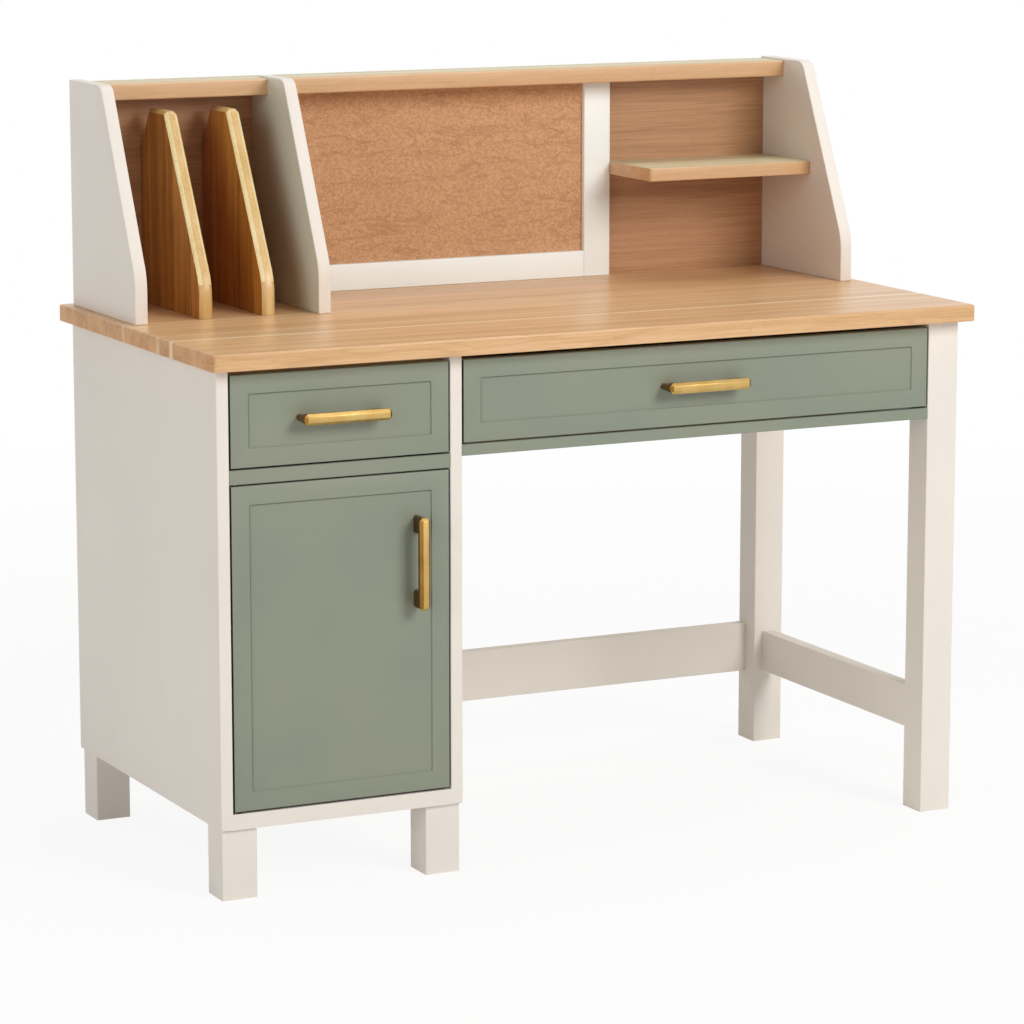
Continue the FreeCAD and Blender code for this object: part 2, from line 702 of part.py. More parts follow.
# ---------------------------------------------------------------- drawers and runners
def drawer(name, front_left, front_right, front_bottom, box_left, box_right):
    """One drawer: front, two sides, back and bottom, joined by housings and grooves.

    Returns the height of the middle of its sides, where the runners sit.
    """
    front = inset_front(f"{name}_drawer_front", front_left, front_right, front_bottom, "fronts_top")
    low = f"{front_bottom} + box_rise"
    tall = f"fronts_top - box_drop - ({low})"
    side_size = ("box_board", "box_length + housing", tall)
    front_end = "front_back - housing"
    back_front_face = "front_back + box_length - box_board"
    groove_z = f"{low} + box_bottom_rise"
    groove = "box_bottom + 2 * joint_clearance"
    inner_left, inner_right = f"{box_left} + box_board", f"{box_right} - box_board"
    for side, x, inner in (
        ("left", box_left, f"{inner_left} - box_groove"),
        ("right", inner_right, inner_right),
    ):
        wall = board(f"{name}_drawer_{side}", side_size, (x, front_end, low))
        cut(wall, ("box_groove", "box_length + housing", groove), (inner, front_end, groove_z))
        cut(front, ("box_board", "housing", tall), (x, front_end, low))
    inside = f"{inner_right} - ({inner_left})"
    back = board(
        f"{name}_drawer_back", (inside, "box_board", tall), (inner_left, back_front_face, low)
    )
    cut(back, (inside, "box_groove", groove), (inner_left, back_front_face, groove_z))
    cut(front, (inside, "box_groove", groove), (inner_left, "front_back - box_groove", groove_z))
    board(
        f"{name}_drawer_bottom",
        (
            f"{inside} + 2 * (box_groove - joint_clearance)",
            f"{back_front_face} - front_back + 2 * (box_groove - joint_clearance)",
            "box_bottom",
        ),
        (
            f"{inner_left} - box_groove + joint_clearance",
            "front_back - box_groove + joint_clearance",
            f"{groove_z} + joint_clearance",
        ),
    )
    handle(
        f"{name}_drawer_handle",
        front,
        f"(({front_left}) + ({front_right})) / 2",
        f"(({front_bottom}) + fronts_top) / 2",
        "x",
    )
    return f"{low} + ({tall}) / 2"


def channel(label, web_face, way, outline, middle):
    """A steel channel of mirrored outline; way is 1 when it opens towards +x, else -1.

    outline lists (reach from the carcass, height from the middle) for the upper half.
    """
    start = "front_back + runner_setback"
    body = new_body(label, (web_face, start, middle))
    upper = [(f"({web_face}) + {way} * ({reach})", f"({middle}) + ({rise})") for reach, rise in outline]
    lower = [(f"({web_face}) + {way} * ({reach})", f"({middle}) - ({rise})") for reach, rise in outline]
    profile(body, "XZ", upper + lower[::-1], "runner_length", reverse=True)


def runner_pair(name, carcass_faces, middle):
    """Fixed and moving channels on both sides of a drawer, the moving one held by the other's lips."""
    outer = "runner_height / 2"
    inner = f"{outer} - runner_sheet"
    lip = f"{inner} - runner_lip"
    opening = f"{lip} - runner_play"
    hook = f"{inner} - runner_play"
    fixed = [
        ("runner_sheet", inner),
        ("runner_reach - runner_sheet", inner),
        ("runner_reach - runner_sheet", lip),
        ("runner_reach", lip),
        ("runner_reach", outer),
        ("0", outer),
    ]
    moving = [
        ("runner_gap - runner_sheet", f"{opening} - runner_sheet"),
        ("runner_bite", f"{opening} - runner_sheet"),
        ("runner_bite", hook),
        ("runner_bite + runner_sheet", hook),
        ("runner_bite + runner_sheet", opening),
        ("runner_gap", opening),
    ]
    for (side, face), way in zip(carcass_faces.items(), (1, -1)):
        channel(f"{name}_runner_{side}", face, way, fixed, middle)
        channel(f"{name}_slide_{side}", face, way, moving, middle)


# ---------------------------------------------------------------- door
def door(bottom, rail):
    """The inset door on two pivot pins, with its handle and magnetic catch."""
    body = inset_front("door", "door_left", "door_right", "door_bottom", "door_top")
    pin_bore = "pivot_diameter + 2 * pivot_play"
    depth = "pivot_reach + running_gap"
    bore(body, pin_bore, depth, ("pivot_x", "pivot_y", "door_bottom"), "z")
    bore(body, pin_bore, depth, ("pivot_x", "pivot_y", f"door_top - ({depth})"), "z")
    bore(bottom, pin_bore, "pivot_reach", ("pivot_x", "pivot_y", "floor_top - pivot_reach"), "z")
    bore(rail, pin_bore, "pivot_reach", ("pivot_x", "pivot_y", "rail_bottom"), "z")
    pins = [
        pivot_pin("floor_top", "door_bottom_gap - running_gap", 1),
        pivot_pin("rail_bottom", "front_gap - running_gap", -1),
    ]
    group("door_pivot_pins", pins)
    handle(
        "door_handle",
        body,
        "door_right - door_handle_side",
        "(door_bottom + door_top) / 2 + door_handle_rise",
        "z",
    )
    catch_bottom = "door_top - catch_drop - catch_length"
    plate_right = "door_right - front_gap"
    board(
        "catch_plate",
        ("plate_width", "plate_thickness", "catch_length"),
        (f"{plate_right} - plate_width", "front_back", catch_bottom),
    )
    board(
        "door_catch",
        ("catch_width", "catch_depth", "catch_length"),
        ("bay_right - catch_width", "front_back + plate_thickness + running_gap", catch_bottom),
        bevelled="y",
    )


def pivot_pin(seat, collar_height, way):
    """A collared pin standing in the carcass at the seat; way is 1 upwards and -1 downwards."""
    turn = FreeCAD.Rotation(AXES["z"], AXES["z"] * way)
    parts = []
    for name, diameter, length, start in (
        ("pin", "pivot_diameter", f"2 * pivot_reach + ({collar_height})", "-pivot_reach"),
        ("collar", "pivot_collar", collar_height, "0"),
    ):
        rod = doc.addObject("Part::Cylinder", f"pivot_{name}")
        rod.Placement = FreeCAD.Placement(FreeCAD.Vector(), turn)
        bind(rod, Radius=f"({diameter}) / 2", Height=length)
        bind(rod, place_x="pivot_x", place_y="pivot_y", place_z=f"{seat} + {way} * ({start})")
        parts.append(rod)
    whole = doc.addObject("Part::Fuse", "pivot_pin")
    whole.Base, whole.Tool = parts
    return whole


# ---------------------------------------------------------------- hutch
def hutch_panel(label, left, back):
    """A shaped upright: straight foot with two stub tenons, front edge leaning back, rounded crown."""
    body = new_body(label, (left, back, "desktop_height"))
    points = [
        (back, "desktop_height"),
        (back, "hutch_top"),
        ("crown_front", "hutch_top"),
        ("hutch_front", "desktop_height + hutch_knee"),
        ("hutch_front", "desktop_height"),
    ]
    profile(body, "YZ", points, "hutch_board")
    thickness = number("hutch_board")

    def edge_at(y, z):
        place_y, place_z = number(f"{y} - ({back})"), number(f"{z} - desktop_height")

        def test(edge, mid):
            there = abs(mid.y - place_y) < 0.01 and abs(mid.z - place_z) < 0.01
            return there and abs(edge.Length - thickness) < 0.01

        return edges_where(body.Tip.Shape, test)

    dress(body, "Fillet", edge_at("hutch_front", "desktop_height + hutch_knee"), "knee_round")
    dress(body, "Fillet", edge_at("crown_front", "hutch_top"), "crown_round")
    bevel_outline(body, "edge_bevel")
    tenon = ("tenon_thickness", "hutch_tenon_width", "hutch_tenon_length")
    x = f"{left} + (hutch_board - tenon_thickness) / 2"
    for y in ("hutch_front + hutch_tenon_inset", f"{back} - hutch_tenon_inset - hutch_tenon_width"):
        place = (x, y, "desktop_height - hutch_tenon_length")
        add_box(body, "Additive", tenon, place)
        mortise(doc.desktop, tenon, place)
    return body


def bevel_outline(body, size):
    """Bevel both long borders of a shaped board's front edge."""
    shape = body.Tip.Shape
    box = shape.BoundBox
    back_limit = box.YMax - 0.01

    def on_front_border(edge, mid):
        on_side = min(abs(mid.x - box.XMin), abs(mid.x - box.XMax)) < 0.01
        flat = max(abs(vertex.Point.x - mid.x) for vertex in edge.Vertexes) < 0.01
        return on_side and flat and mid.y < back_limit and mid.z > box.ZMin + 0.01

    dress(body, "Chamfer", edges_where(shape, on_front_border), size)


def hutch():
    """The hutch: shaped panels, halved top board, back panel, pinboard, shelf and paper dividers."""
    left = hutch_panel("hutch_left_panel", "hutch_left", "rear_plane")
    middle = hutch_panel("hutch_divider_panel", "divider_left", "back_front")
    right = hutch_panel("hutch_right_panel", "hutch_inner_right", "rear_plane")
    rise = "top_board_bottom - desktop_height"
    rebate = ("hutch_rebate", "hutch_back", rise)
    housing = ("hutch_housing", "top_board_depth", "top_board_thickness")
    cut(left, rebate, ("hutch_inner_left - hutch_rebate", "back_front", "desktop_height"))
    cut(left, housing, ("hutch_inner_left - hutch_housing", "top_board_front", "top_board_bottom"))
    cut(right, rebate, ("hutch_inner_right", "back_front", "desktop_height"))
    cut(right, housing, ("hutch_inner_right", "top_board_front", "top_board_bottom"))
    cut(
        middle,
        ("hutch_board", "back_front - halving", "hutch_top - top_board_bottom"),
        ("divider_left", "halving", "top_board_bottom"),
    )
    top_board()
    back = board(
        "hutch_back_panel",
        ("hutch_inner_right - hutch_inner_left + 2 * hutch_rebate", "hutch_back", rise),
        ("hutch_inner_left - hutch_rebate", "back_front", "desktop_height"),
    )
    pinboard()
    hutch_shelf(back, right)
    paper_dividers(back)


def top_board():
    """The top board, housed in the side panels and halved over the divider panel."""
    length = "hutch_inner_right - hutch_inner_left + 2 * hutch_housing"
    size = (length, "top_board_depth", "top_board_thickness")
    corner = ("hutch_inner_left - hutch_housing", "top_board_front", "top_board_bottom")
    body = board("hutch_top_board", size, corner)
    front_edges = edges_where(
        body.Tip.Shape, lambda edge, mid: abs(mid.y) < 0.01 and edge.Length > number(size[0]) - 0.01
    )
    dress(body, "Fillet", front_edges, "top_board_round")
    cut(
        body,
        ("hutch_board", "halving - top_board_front", "top_board_thickness"),
        ("divider_left", "top_board_front", "top_board_bottom"),
    )


def pinboard():
    """The cork sheet and the two visible members of its frame, rebated over the cork."""
    cork_back = "back_front - cork_thickness"
    cork_foot = "rail_head - frame_lap"
    cork_height = f"top_board_bottom - ({cork_foot})"
    board(
        "cork_sheet",
        ("stile_left + frame_lap - divider_right", "cork_thickness", cork_height),
        ("divider_right", cork_back, cork_foot),
    )
    stile = board(
        "pinboard_stile",
        ("stile_width", "frame_thickness", "top_board_bottom - desktop_height"),
        ("stile_left", "frame_front", "desktop_height"),
        bevelled="z",
    )
    rail = board(
        "pinboard_rail",
        ("stile_left - divider_right", "frame_thickness", "frame_rail"),
        ("divider_right", "frame_front", "desktop_height"),
        bevelled="x",
    )
    cut(stile, ("frame_lap", "cork_thickness", cork_height), ("stile_left", cork_back, cork_foot))
    cut(
        rail,
        ("stile_left - divider_right", "cork_thickness", "frame_lap"),
        ("divider_right", cork_back, cork_foot),
    )


def hutch_shelf(back, right_panel):
    """The short shelf beside the pinboard stile, let into the back panel and the right panel."""
    length = "hutch_inner_right - stile_right"
    size = (f"{length} + hutch_housing", "hutch_shelf_depth + paper_groove", "hutch_shelf_thickness")
    front = "back_front - hutch_shelf_depth"
    body = board("hutch_shelf", size, ("stile_right", front, "hutch_shelf_bottom"))
    half_thickness = number("hutch_shelf_thickness") / 2

    def free_corner(edge, mid):
        return max(abs(mid.x), abs(mid.y), abs(mid.z - half_thickness)) < 0.01

    dress(body, "Fillet", edges_where(body.Tip.Shape, free_corner), "hutch_shelf_round")
    front_rims = edges_where(
        body.Tip.Shape, lambda edge, mid: abs(mid.y) < 0.01 and edge.Length > number(length) / 2
    )
    dress(body, "Chamfer", front_rims, "edge_bevel")
    cut(
        back,
        (size[0], "paper_groove", "hutch_shelf_thickness"),
        ("stile_right", "back_front", "hutch_shelf_bottom"),
    )
    cut(
        right_panel,
        ("hutch_housing", "hutch_shelf_depth", "hutch_shelf_thickness"),
        ("hutch_inner_right", front, "hutch_shelf_bottom"),
    )


def paper_dividers(back):
    """Two shaped dividers for papers, let into the back panel."""
    front = "hutch_front + paper_setback"
    rear = "back_front + paper_groove"
    top = "desktop_height + paper_height"
    crown = f"{front} + paper_lean"
    for side, left in (("left", "first_paper_left"), ("right", "second_paper_left")):
        body = new_body(f"paper_divider_{side}", (left, front, "desktop_height"))
        points = [
            (front, "desktop_height"),
            (rear, "desktop_height"),
            (rear, f"{top} - paper_slant"),
            ("back_front", f"{top} - paper_slant"),
            (f"{crown} + paper_crown", top),
            (crown, top),
            (front, "desktop_height + paper_knee"),
        ]
        profile(body, "YZ", points, "paper_board")
        bends = {"knee_round": ("0", "paper_knee"), "paper_round": ("paper_lean", "paper_height")}
        for radius, (y, z) in bends.items():
            place_y, place_z = number(y), number(z)
            bend = edges_where(
                body.Tip.Shape,
                lambda edge, mid: abs(mid.y - place_y) < 0.01 and abs(mid.z - place_z) < 0.01,
            )
            dress(body, "Fillet", bend, radius)
        bevel_outline(body, "paper_bevel")
        cut(
            back,
            ("paper_board", "paper_groove", "paper_height - paper_slant"),
            (left, "back_front", "desktop_height"),
        )


# ---------------------------------------------------------------- assembly and output
def build():
    """Build every piece in the order in which the desk goes together."""
    desktop()
    right_side, bottom, rail = cabinet()
    leg_frame(right_side)
    carcass = {
        "small": ("bay_left", "bay_right"),
        "centre": ("cabinet_right", "leg_left"),
    }
    for name, (left_face, right_face) in carcass.items():
        middle = drawer(
            name,
            f"{left_face} + front_gap",
            f"{right_face} - front_gap",
            f"{name}_bottom",
            f"{left_face} + runner_gap",
            f"{right_face} - runner_gap",
        )
        runner_pair(name, {"left": left_face, "right": right_face}, middle)
    door(bottom, rail)
    hutch()
    doc.recompute()


def pieces():
    """The finished pieces: every body and every group of loose solids."""
    return [
        thing for thing in doc.Objects if thing.TypeId in ("PartDesign::Body", "Part::Compound")
    ]


def check():
    """Stop if any object failed to build or any piece has no sound shape."""
    for thing in doc.Objects:
        if {"Invalid", "Error"} & set(thing.State):
            raise RuntimeError(f"{thing.Label} failed: {thing.State}")
    for piece in pieces():
        if piece.Shape.isNull() or not piece.Shape.isValid():
            raise RuntimeError(f"{piece.Label} has no sound shape")


build()
check()
os.makedirs("parts", exist_ok=True)
for piece in pieces():
    piece.Shape.exportStep(os.path.join("parts", piece.Label + ".step"))
    print(f"{piece.Label}: {len(piece.Shape.Solids)} solid(s), {piece.Shape.Volume / 1000:.1f} cm3")
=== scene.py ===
"""The looks of a student desk with hutch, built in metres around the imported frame.

Each sub-assembly is a class: it shapes its pieces on the bench, dresses them and the frame's own
nodes with finishes, and lets them ride on the body that they belong to.
"""

import logging
import math
from abc import ABC, abstractmethod
from collections.abc import Callable, Iterable
from dataclasses import dataclass
from enum import Enum

import bmesh
import bpy
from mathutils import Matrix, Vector


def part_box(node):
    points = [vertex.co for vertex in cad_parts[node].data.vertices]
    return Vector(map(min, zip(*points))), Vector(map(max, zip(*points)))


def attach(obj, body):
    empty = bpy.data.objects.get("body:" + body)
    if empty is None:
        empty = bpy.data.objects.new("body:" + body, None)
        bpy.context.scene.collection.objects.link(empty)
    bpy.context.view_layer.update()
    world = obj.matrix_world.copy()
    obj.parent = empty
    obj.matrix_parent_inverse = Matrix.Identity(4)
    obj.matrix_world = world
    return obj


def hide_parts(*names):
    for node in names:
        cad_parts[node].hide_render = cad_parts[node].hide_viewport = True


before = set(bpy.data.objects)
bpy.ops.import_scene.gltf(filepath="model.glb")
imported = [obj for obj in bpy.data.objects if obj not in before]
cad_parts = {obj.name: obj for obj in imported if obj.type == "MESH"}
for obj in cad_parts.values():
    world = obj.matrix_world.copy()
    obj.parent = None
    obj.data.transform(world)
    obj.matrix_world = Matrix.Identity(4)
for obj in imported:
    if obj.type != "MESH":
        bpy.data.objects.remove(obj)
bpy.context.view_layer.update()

MM = 0.001
SMOOTH_ANGLE = math.radians(35)
HARD_EDGE_ANGLE = math.radians(40)

# Cosines that say how an edge runs or a face looks: along an axis, halfway, or square to it.
ALONG = 0.99
FACING = 0.9
HALFWAY = 0.5
SQUARE = 0.1

# Sockets of a Mix node, whose names repeat: its share, two numbers and two colours.
SHARE, NUMBER_A, NUMBER_B, COLOUR_A, COLOUR_B = 0, 2, 3, 6, 7

# What a new colour ramp has of stops, and how fast a wave texture turns, in radians per metre.
RAMP_ENDS = 2
WAVE_TURN = 20

SHADER = "Principled BSDF"
LACQUER_IOR = 1.5

log = logging.getLogger("desk")

Colour = tuple[float, float, float, float]
Sockets = dict[str | int, object]
Stops = Iterable[tuple[float, Colour]]
Test = Callable[[Vector, Vector], bool]


class Axis(Enum):
    """A direction of the desk: sitter's right, away from the sitter, and up."""

    X = 0
    Y = 1
    Z = 2


class Element(Enum):
    """What the bench can pick of a mesh."""

    EDGE = "EDGE"
    FACE = "FACE"


class Bond(Enum):
    """What becomes of two blanks: the second is cut from the first, or both are made one."""

    CUT = "DIFFERENCE"
    JOIN = "UNION"


class Upright(Enum):
    """The hutch's three white uprights, from the left."""

    LEFT = "left"
    DIVIDER = "divider"
    RIGHT = "right"


class Slot(Enum):
    """Material slots of the record."""

    BOARDS = "oak_boards"
    BACK = "oak_back"
    WHITE = "white_paint"
    GREEN = "green_paint"
    GOLDEN = "golden_wood"
    PLYWOOD = "plywood"
    CORK = "cork"
    BRASS = "brass"
    STEEL = "steel"
    PLASTIC = "catch_plastic"


class Body(Enum):
    """Bodies of the record: the standing desk and what moves in it."""

    DESK = "desk"
    SMALL_DRAWER = "small_drawer"
    CENTRE_DRAWER = "centre_drawer"
    DOOR = "cupboard_door"


def mm(value: float) -> float:
    """Millimetres as metres."""
    return value * MM


def per_mm(spacing: float) -> float:
    """Texture scale whose features are the given number of millimetres apart."""
    return 1.0 / mm(spacing)


def wave_per_mm(spacing: float) -> float:
    """Scale of a wave texture whose bands are the given number of millimetres apart."""
    return 2 * math.pi / (WAVE_TURN * mm(spacing))


def grey(share: float) -> Colour:
    """A grey that stands for a share between 0 and 1."""
    return (share, share, share, 1.0)


def colour(code: str) -> Colour:
    """Linear colour of an sRGB hex code.

    Args:
        code: six hex digits, such as "ece6dd".

    Returns:
        Linear red, green, blue and an alpha of 1.
    """
    shares = [int(code[i : i + 2], 16) / 255 for i in (0, 2, 4)]
    linear = [s / 12.92 if s <= 0.04045 else ((s + 0.055) / 1.055) ** 2.4 for s in shares]
    return (linear[0], linear[1], linear[2], 1.0)


# How far off its place an edge or a face may lie: in a plane, at its roundings, and near a point.
FLUSH = mm(0.01)
TOUCH = mm(0.1)
NEAR = mm(1)

# How far a cutter stands out past the wood that it cuts.
SLACK = mm(20)


# ---------------------------------------------------------------- materials
class Coat:
    """The nodes of a material or of the world while they are laid out."""

    def __init__(self, owner: bpy.types.Material | bpy.types.World) -> None:
        """Open the nodes.

        Args:
            owner: the material or the world.
        """
        owner.use_nodes = True
        self.tree = owner.node_tree

    def add(
        self, kind: str, sockets: Sockets | None = None, stops: Stops = (), **settings: object
    ) -> bpy.types.Node:
        """Add a node with its settings and links.

        Args:
            kind: the node's type, without its first part, ShaderNode.
            sockets: what feed gives to its sockets.
            stops: places and colours of a colour ramp.
            settings: properties of the node.

        Returns:
            The new node.
        """
        node = self.tree.nodes.new("ShaderNode" + kind)
        for name, value in settings.items():
            setattr(node, name, value)
        self.feed(node.name, sockets or {})
        for index, (place, shade) in enumerate(stops):
            elements = node.color_ramp.elements
            element = elements[index] if index < RAMP_ENDS else elements.new(place)
            element.position = place
            element.color = shade
        return node

    def feed(self, name: str, sockets: Sockets) -> None:
        """Give a node's sockets their values and links.

        Args:
            name: the node's name.
            sockets: a value, an output or a node for each socket, by the socket's name or, where
                names repeat, by its number. A node feeds it from its first output in use.
        """
        inputs = self.tree.nodes[name].inputs
        for socket, value in sockets.items():
            if isinstance(value, bpy.types.Node):
                value = next(output for output in value.outputs if output.enabled)
            if isinstance(value, bpy.types.NodeSocket):
                self.tree.links.new(value, inputs[socket])
            else:
                inputs[socket].default_value = value

    def place(self) -> bpy.types.NodeSocket:
        """Object coordinates, in metres."""
        return self.add("TexCoord").outputs["Object"]


class Finish(ABC):
    """A surface finish: one material, made when it is first asked for."""

    name: str
    slot: Slot

    def material(self) -> bpy.types.Material:
        """The finish's material, shared by everything that wears it.

        Returns:
            The material, painted once.
        """
        made = bpy.data.materials.get(self.name)
        if made is None:
            made = bpy.data.materials.new(self.name)
            self.paint(Coat(made))
        return made

    @abstractmethod
    def paint(self, coat: Coat) -> None:
        """Lay out the nodes and feed the shader.

        Args:
            coat: the material's nodes.
        """


@dataclass(frozen=True)
class SatinPaint(Finish):
    """Satin lacquer sprayed over fibreboard: an even colour, a soft sheen and no brush marks.

    Its orange peel, about a millimetre wide, is drawn as coarse as it needs to show.
    """

    name: str
    slot: Slot
    tint: str
    shade: str
    gloss: float = 0.42
    peel: float = 2.6
    peel_depth: float = 0.12
    cloud: float = 240.0

    def paint(self, coat: Coat) -> None:
        """Cloudy tone over the whole board, fine peel in the gloss and the bump.

        Args:
            coat: the material's nodes.
        """
        place = coat.place()
        cloud = coat.add("TexNoise", {"Vector": place, "Scale": per_mm(self.cloud), "Detail": 3.0})
        tone = coat.add(
            "ValToRGB", {"Fac": cloud}, [(0.35, colour(self.shade)), (0.65, colour(self.tint))]
        )
        dimples = {"Scale": per_mm(self.peel), "Roughness": 0.45}
        peel = coat.add("TexNoise", {"Vector": place, **dimples})
        sheen = {"To Min": self.gloss - 0.03, "To Max": self.gloss + 0.04}
        gloss = coat.add("MapRange", {"Value": peel, "From Min": 0.3, "From Max": 0.7, **sheen})
        relief = {"Strength": 0.12, "Distance": mm(self.peel_depth)}
        bump = coat.add("Bump", {"Height": peel, **relief})
        coat.feed(
            SHADER, {"Base Color": tone, "Roughness": gloss, "Normal": bump, "IOR": LACQUER_IOR}
        )


@dataclass(frozen=True)
class Stave:
    """A glued stave: its rear edge, in metres, its tone, its place in the log and its sapwood."""

    end: float
    tone: float
    shift: float
    sapwood: float = 0.12


@dataclass(frozen=True)
class SawnWood(Finish):
    """Planed wood under clear lacquer or oil: its figure runs one way, and its sheen follows it.

    Broad soft bands, thin veins, fibres and pores lie over each other; their gaps and lengths are
    in millimetres, and the front and rear of a board of staves in metres. Real fibres are a few
    tenths of a millimetre wide, and the pale sapwood at the edge of a stave two or three: both
    are drawn as coarse as they need to show.
    """

    name: str
    slot: Slot
    pale: str
    mid: str
    dark: str
    vein: str
    pore: str
    grain: Axis = Axis.X
    band: float = 26.0
    band_length: float = 1400.0
    vein_gap: float = 34.0
    vein_length: float = 420.0
    vein_depth: float = 0.4
    fibre: float = 2.2
    fibre_length: float = 90.0
    fibre_depth: float = 0.15
    pore_gap: float = 0.9
    pore_length: float = 12.0
    gloss: float = 0.34
    shine: float = 0.5
    sap: str = "fbe3bd"
    sap_width: float = 9.0
    staves: tuple[Stave, ...] = ()
    front: float = -0.3
    rear: float = 0.3
    log_shift: tuple[float, float, float] = (3.0, 0.13, 0.05)

    def paint(self, coat: Coat) -> None:
        """Turn the grain along x, then lay bands, fibres, veins and pores over each other.

        Args:
            coat: the material's nodes.
        """
        place = coat.place()
        quarter = math.pi / 2
        turn = {Axis.X: (0.0, 0.0, 0.0), Axis.Y: (0.0, 0.0, quarter), Axis.Z: (0.0, quarter, 0.0)}
        wood = coat.add("Mapping", {"Vector": place, "Rotation": turn[self.grain]})
        if self.staves:
            wood, tone, sapwood = self.lay_staves(coat, place, wood)
        layers = {
            "bands": (self.band_length, self.band, 2.0),
            "veins": (self.vein_length, self.vein_gap, 2.0),
            "fibres": (self.fibre_length, self.fibre, 3.0),
            "pores": (self.pore_length, self.pore_gap, 1.0),
        }
        felt = {}
        for layer, (length, gap, detail) in layers.items():
            scale = (per_mm(length), per_mm(gap), per_mm(gap))
            drawn = coat.add("Mapping", {"Vector": wood, "Scale": scale})
            felt[layer] = coat.add("TexNoise", {"Vector": drawn, "Scale": 1.0, "Detail": detail})
        blend = coat.add("Mix", {SHARE: 0.42, NUMBER_A: felt["bands"], NUMBER_B: felt["fibres"]})
        surface = coat.add(
            "ValToRGB",
            {"Fac": blend},
            [(0.38, colour(self.dark)), (0.5, colour(self.mid)), (0.62, colour(self.pale))],
        )
        thick, thin = self.vein_depth, self.vein_depth * 0.7
        veins = [(0.44, 0), (0.465, thick), (0.485, 0), (0.545, 0), (0.56, thin), (0.575, 0)]
        pores = [(0.27, 0.45), (0.35, 0)]
        for layer, shade, spots in (("veins", self.vein, veins), ("pores", self.pore, pores)):
            stops = [(spot, grey(share)) for spot, share in spots]
            mask = coat.add("ValToRGB", {"Fac": felt[layer]}, stops)
            mixed = {SHARE: mask, COLOUR_A: surface, COLOUR_B: colour(shade)}
            surface = coat.add("Mix", mixed, data_type="RGBA")
        if self.staves:
            toned = {SHARE: 1.0, COLOUR_A: surface, COLOUR_B: tone}
            surface = coat.add("Mix", toned, data_type="RGBA", blend_type="MULTIPLY")
            edged = {SHARE: sapwood, COLOUR_A: surface, COLOUR_B: colour(self.sap)}
            surface = coat.add("Mix", edged, data_type="RGBA")
        sheen = {"To Min": self.gloss + 0.05, "To Max": self.gloss - 0.03}
        gloss = coat.add("MapRange", {"Value": blend, "From Min": 0.35, "From Max": 0.65, **sheen})
        relief = {"Strength": 0.12, "Distance": mm(self.fibre_depth)}
        bump = coat.add("Bump", {"Height": felt["fibres"], **relief})
        coat.feed(SHADER, {"Base Color": surface, "Roughness": gloss, "Normal": bump})
        coat.feed(SHADER, {"IOR": LACQUER_IOR, "Specular IOR Level": self.shine})

    def lay_staves(
        self, coat: Coat, place: bpy.types.NodeSocket, wood: bpy.types.Node
    ) -> tuple[bpy.types.Node, bpy.types.NodeSocket, bpy.types.Node]:
        """Give each stave its own tone and place in the log, and draw the sapwood edges.

        Args:
            coat: the material's nodes.
            place: object coordinates.
            wood: coordinates with the grain along x.

        Returns:
            The coordinates moved stave by stave, the tone to multiply by and the sapwood's mask.
        """
        depth = self.rear - self.front
        across = coat.add("SeparateXYZ", {"Vector": place}).outputs["Y"]
        share = coat.add(
            "MapRange", {"Value": across, "From Min": self.front, "From Max": self.rear}
        )
        ends = [(stave.end - self.front) / depth for stave in self.staves]
        starts = [0.0, *ends[:-1]]
        stops = [
            (start, (stave.tone, stave.shift, 1.0 - stave.shift, 1.0))
            for start, stave in zip(starts, self.staves)
        ]
        index = coat.add("ValToRGB", {"Fac": share}, stops)
        index.color_ramp.interpolation = "CONSTANT"
        parts = coat.add("SeparateColor", {"Color": index}).outputs
        shift = coat.add(
            "CombineXYZ", {"X": parts["Green"], "Y": parts["Blue"], "Z": parts["Green"]}
        )
        moved = coat.add(
            "VectorMath", {0: shift, 1: self.log_shift, 2: wood}, operation="MULTIPLY_ADD"
        )
        reach = mm(self.sap_width) / depth
        lines = [
            (end + offset, grey(sapwood))
            for end, stave in zip(ends[:-1], self.staves)
            for offset, sapwood in ((-reach, 0.0), (0.0, stave.sapwood), (reach, 0.0))
        ]
        return moved, parts["Red"], coat.add("ValToRGB", {"Fac": share}, lines)


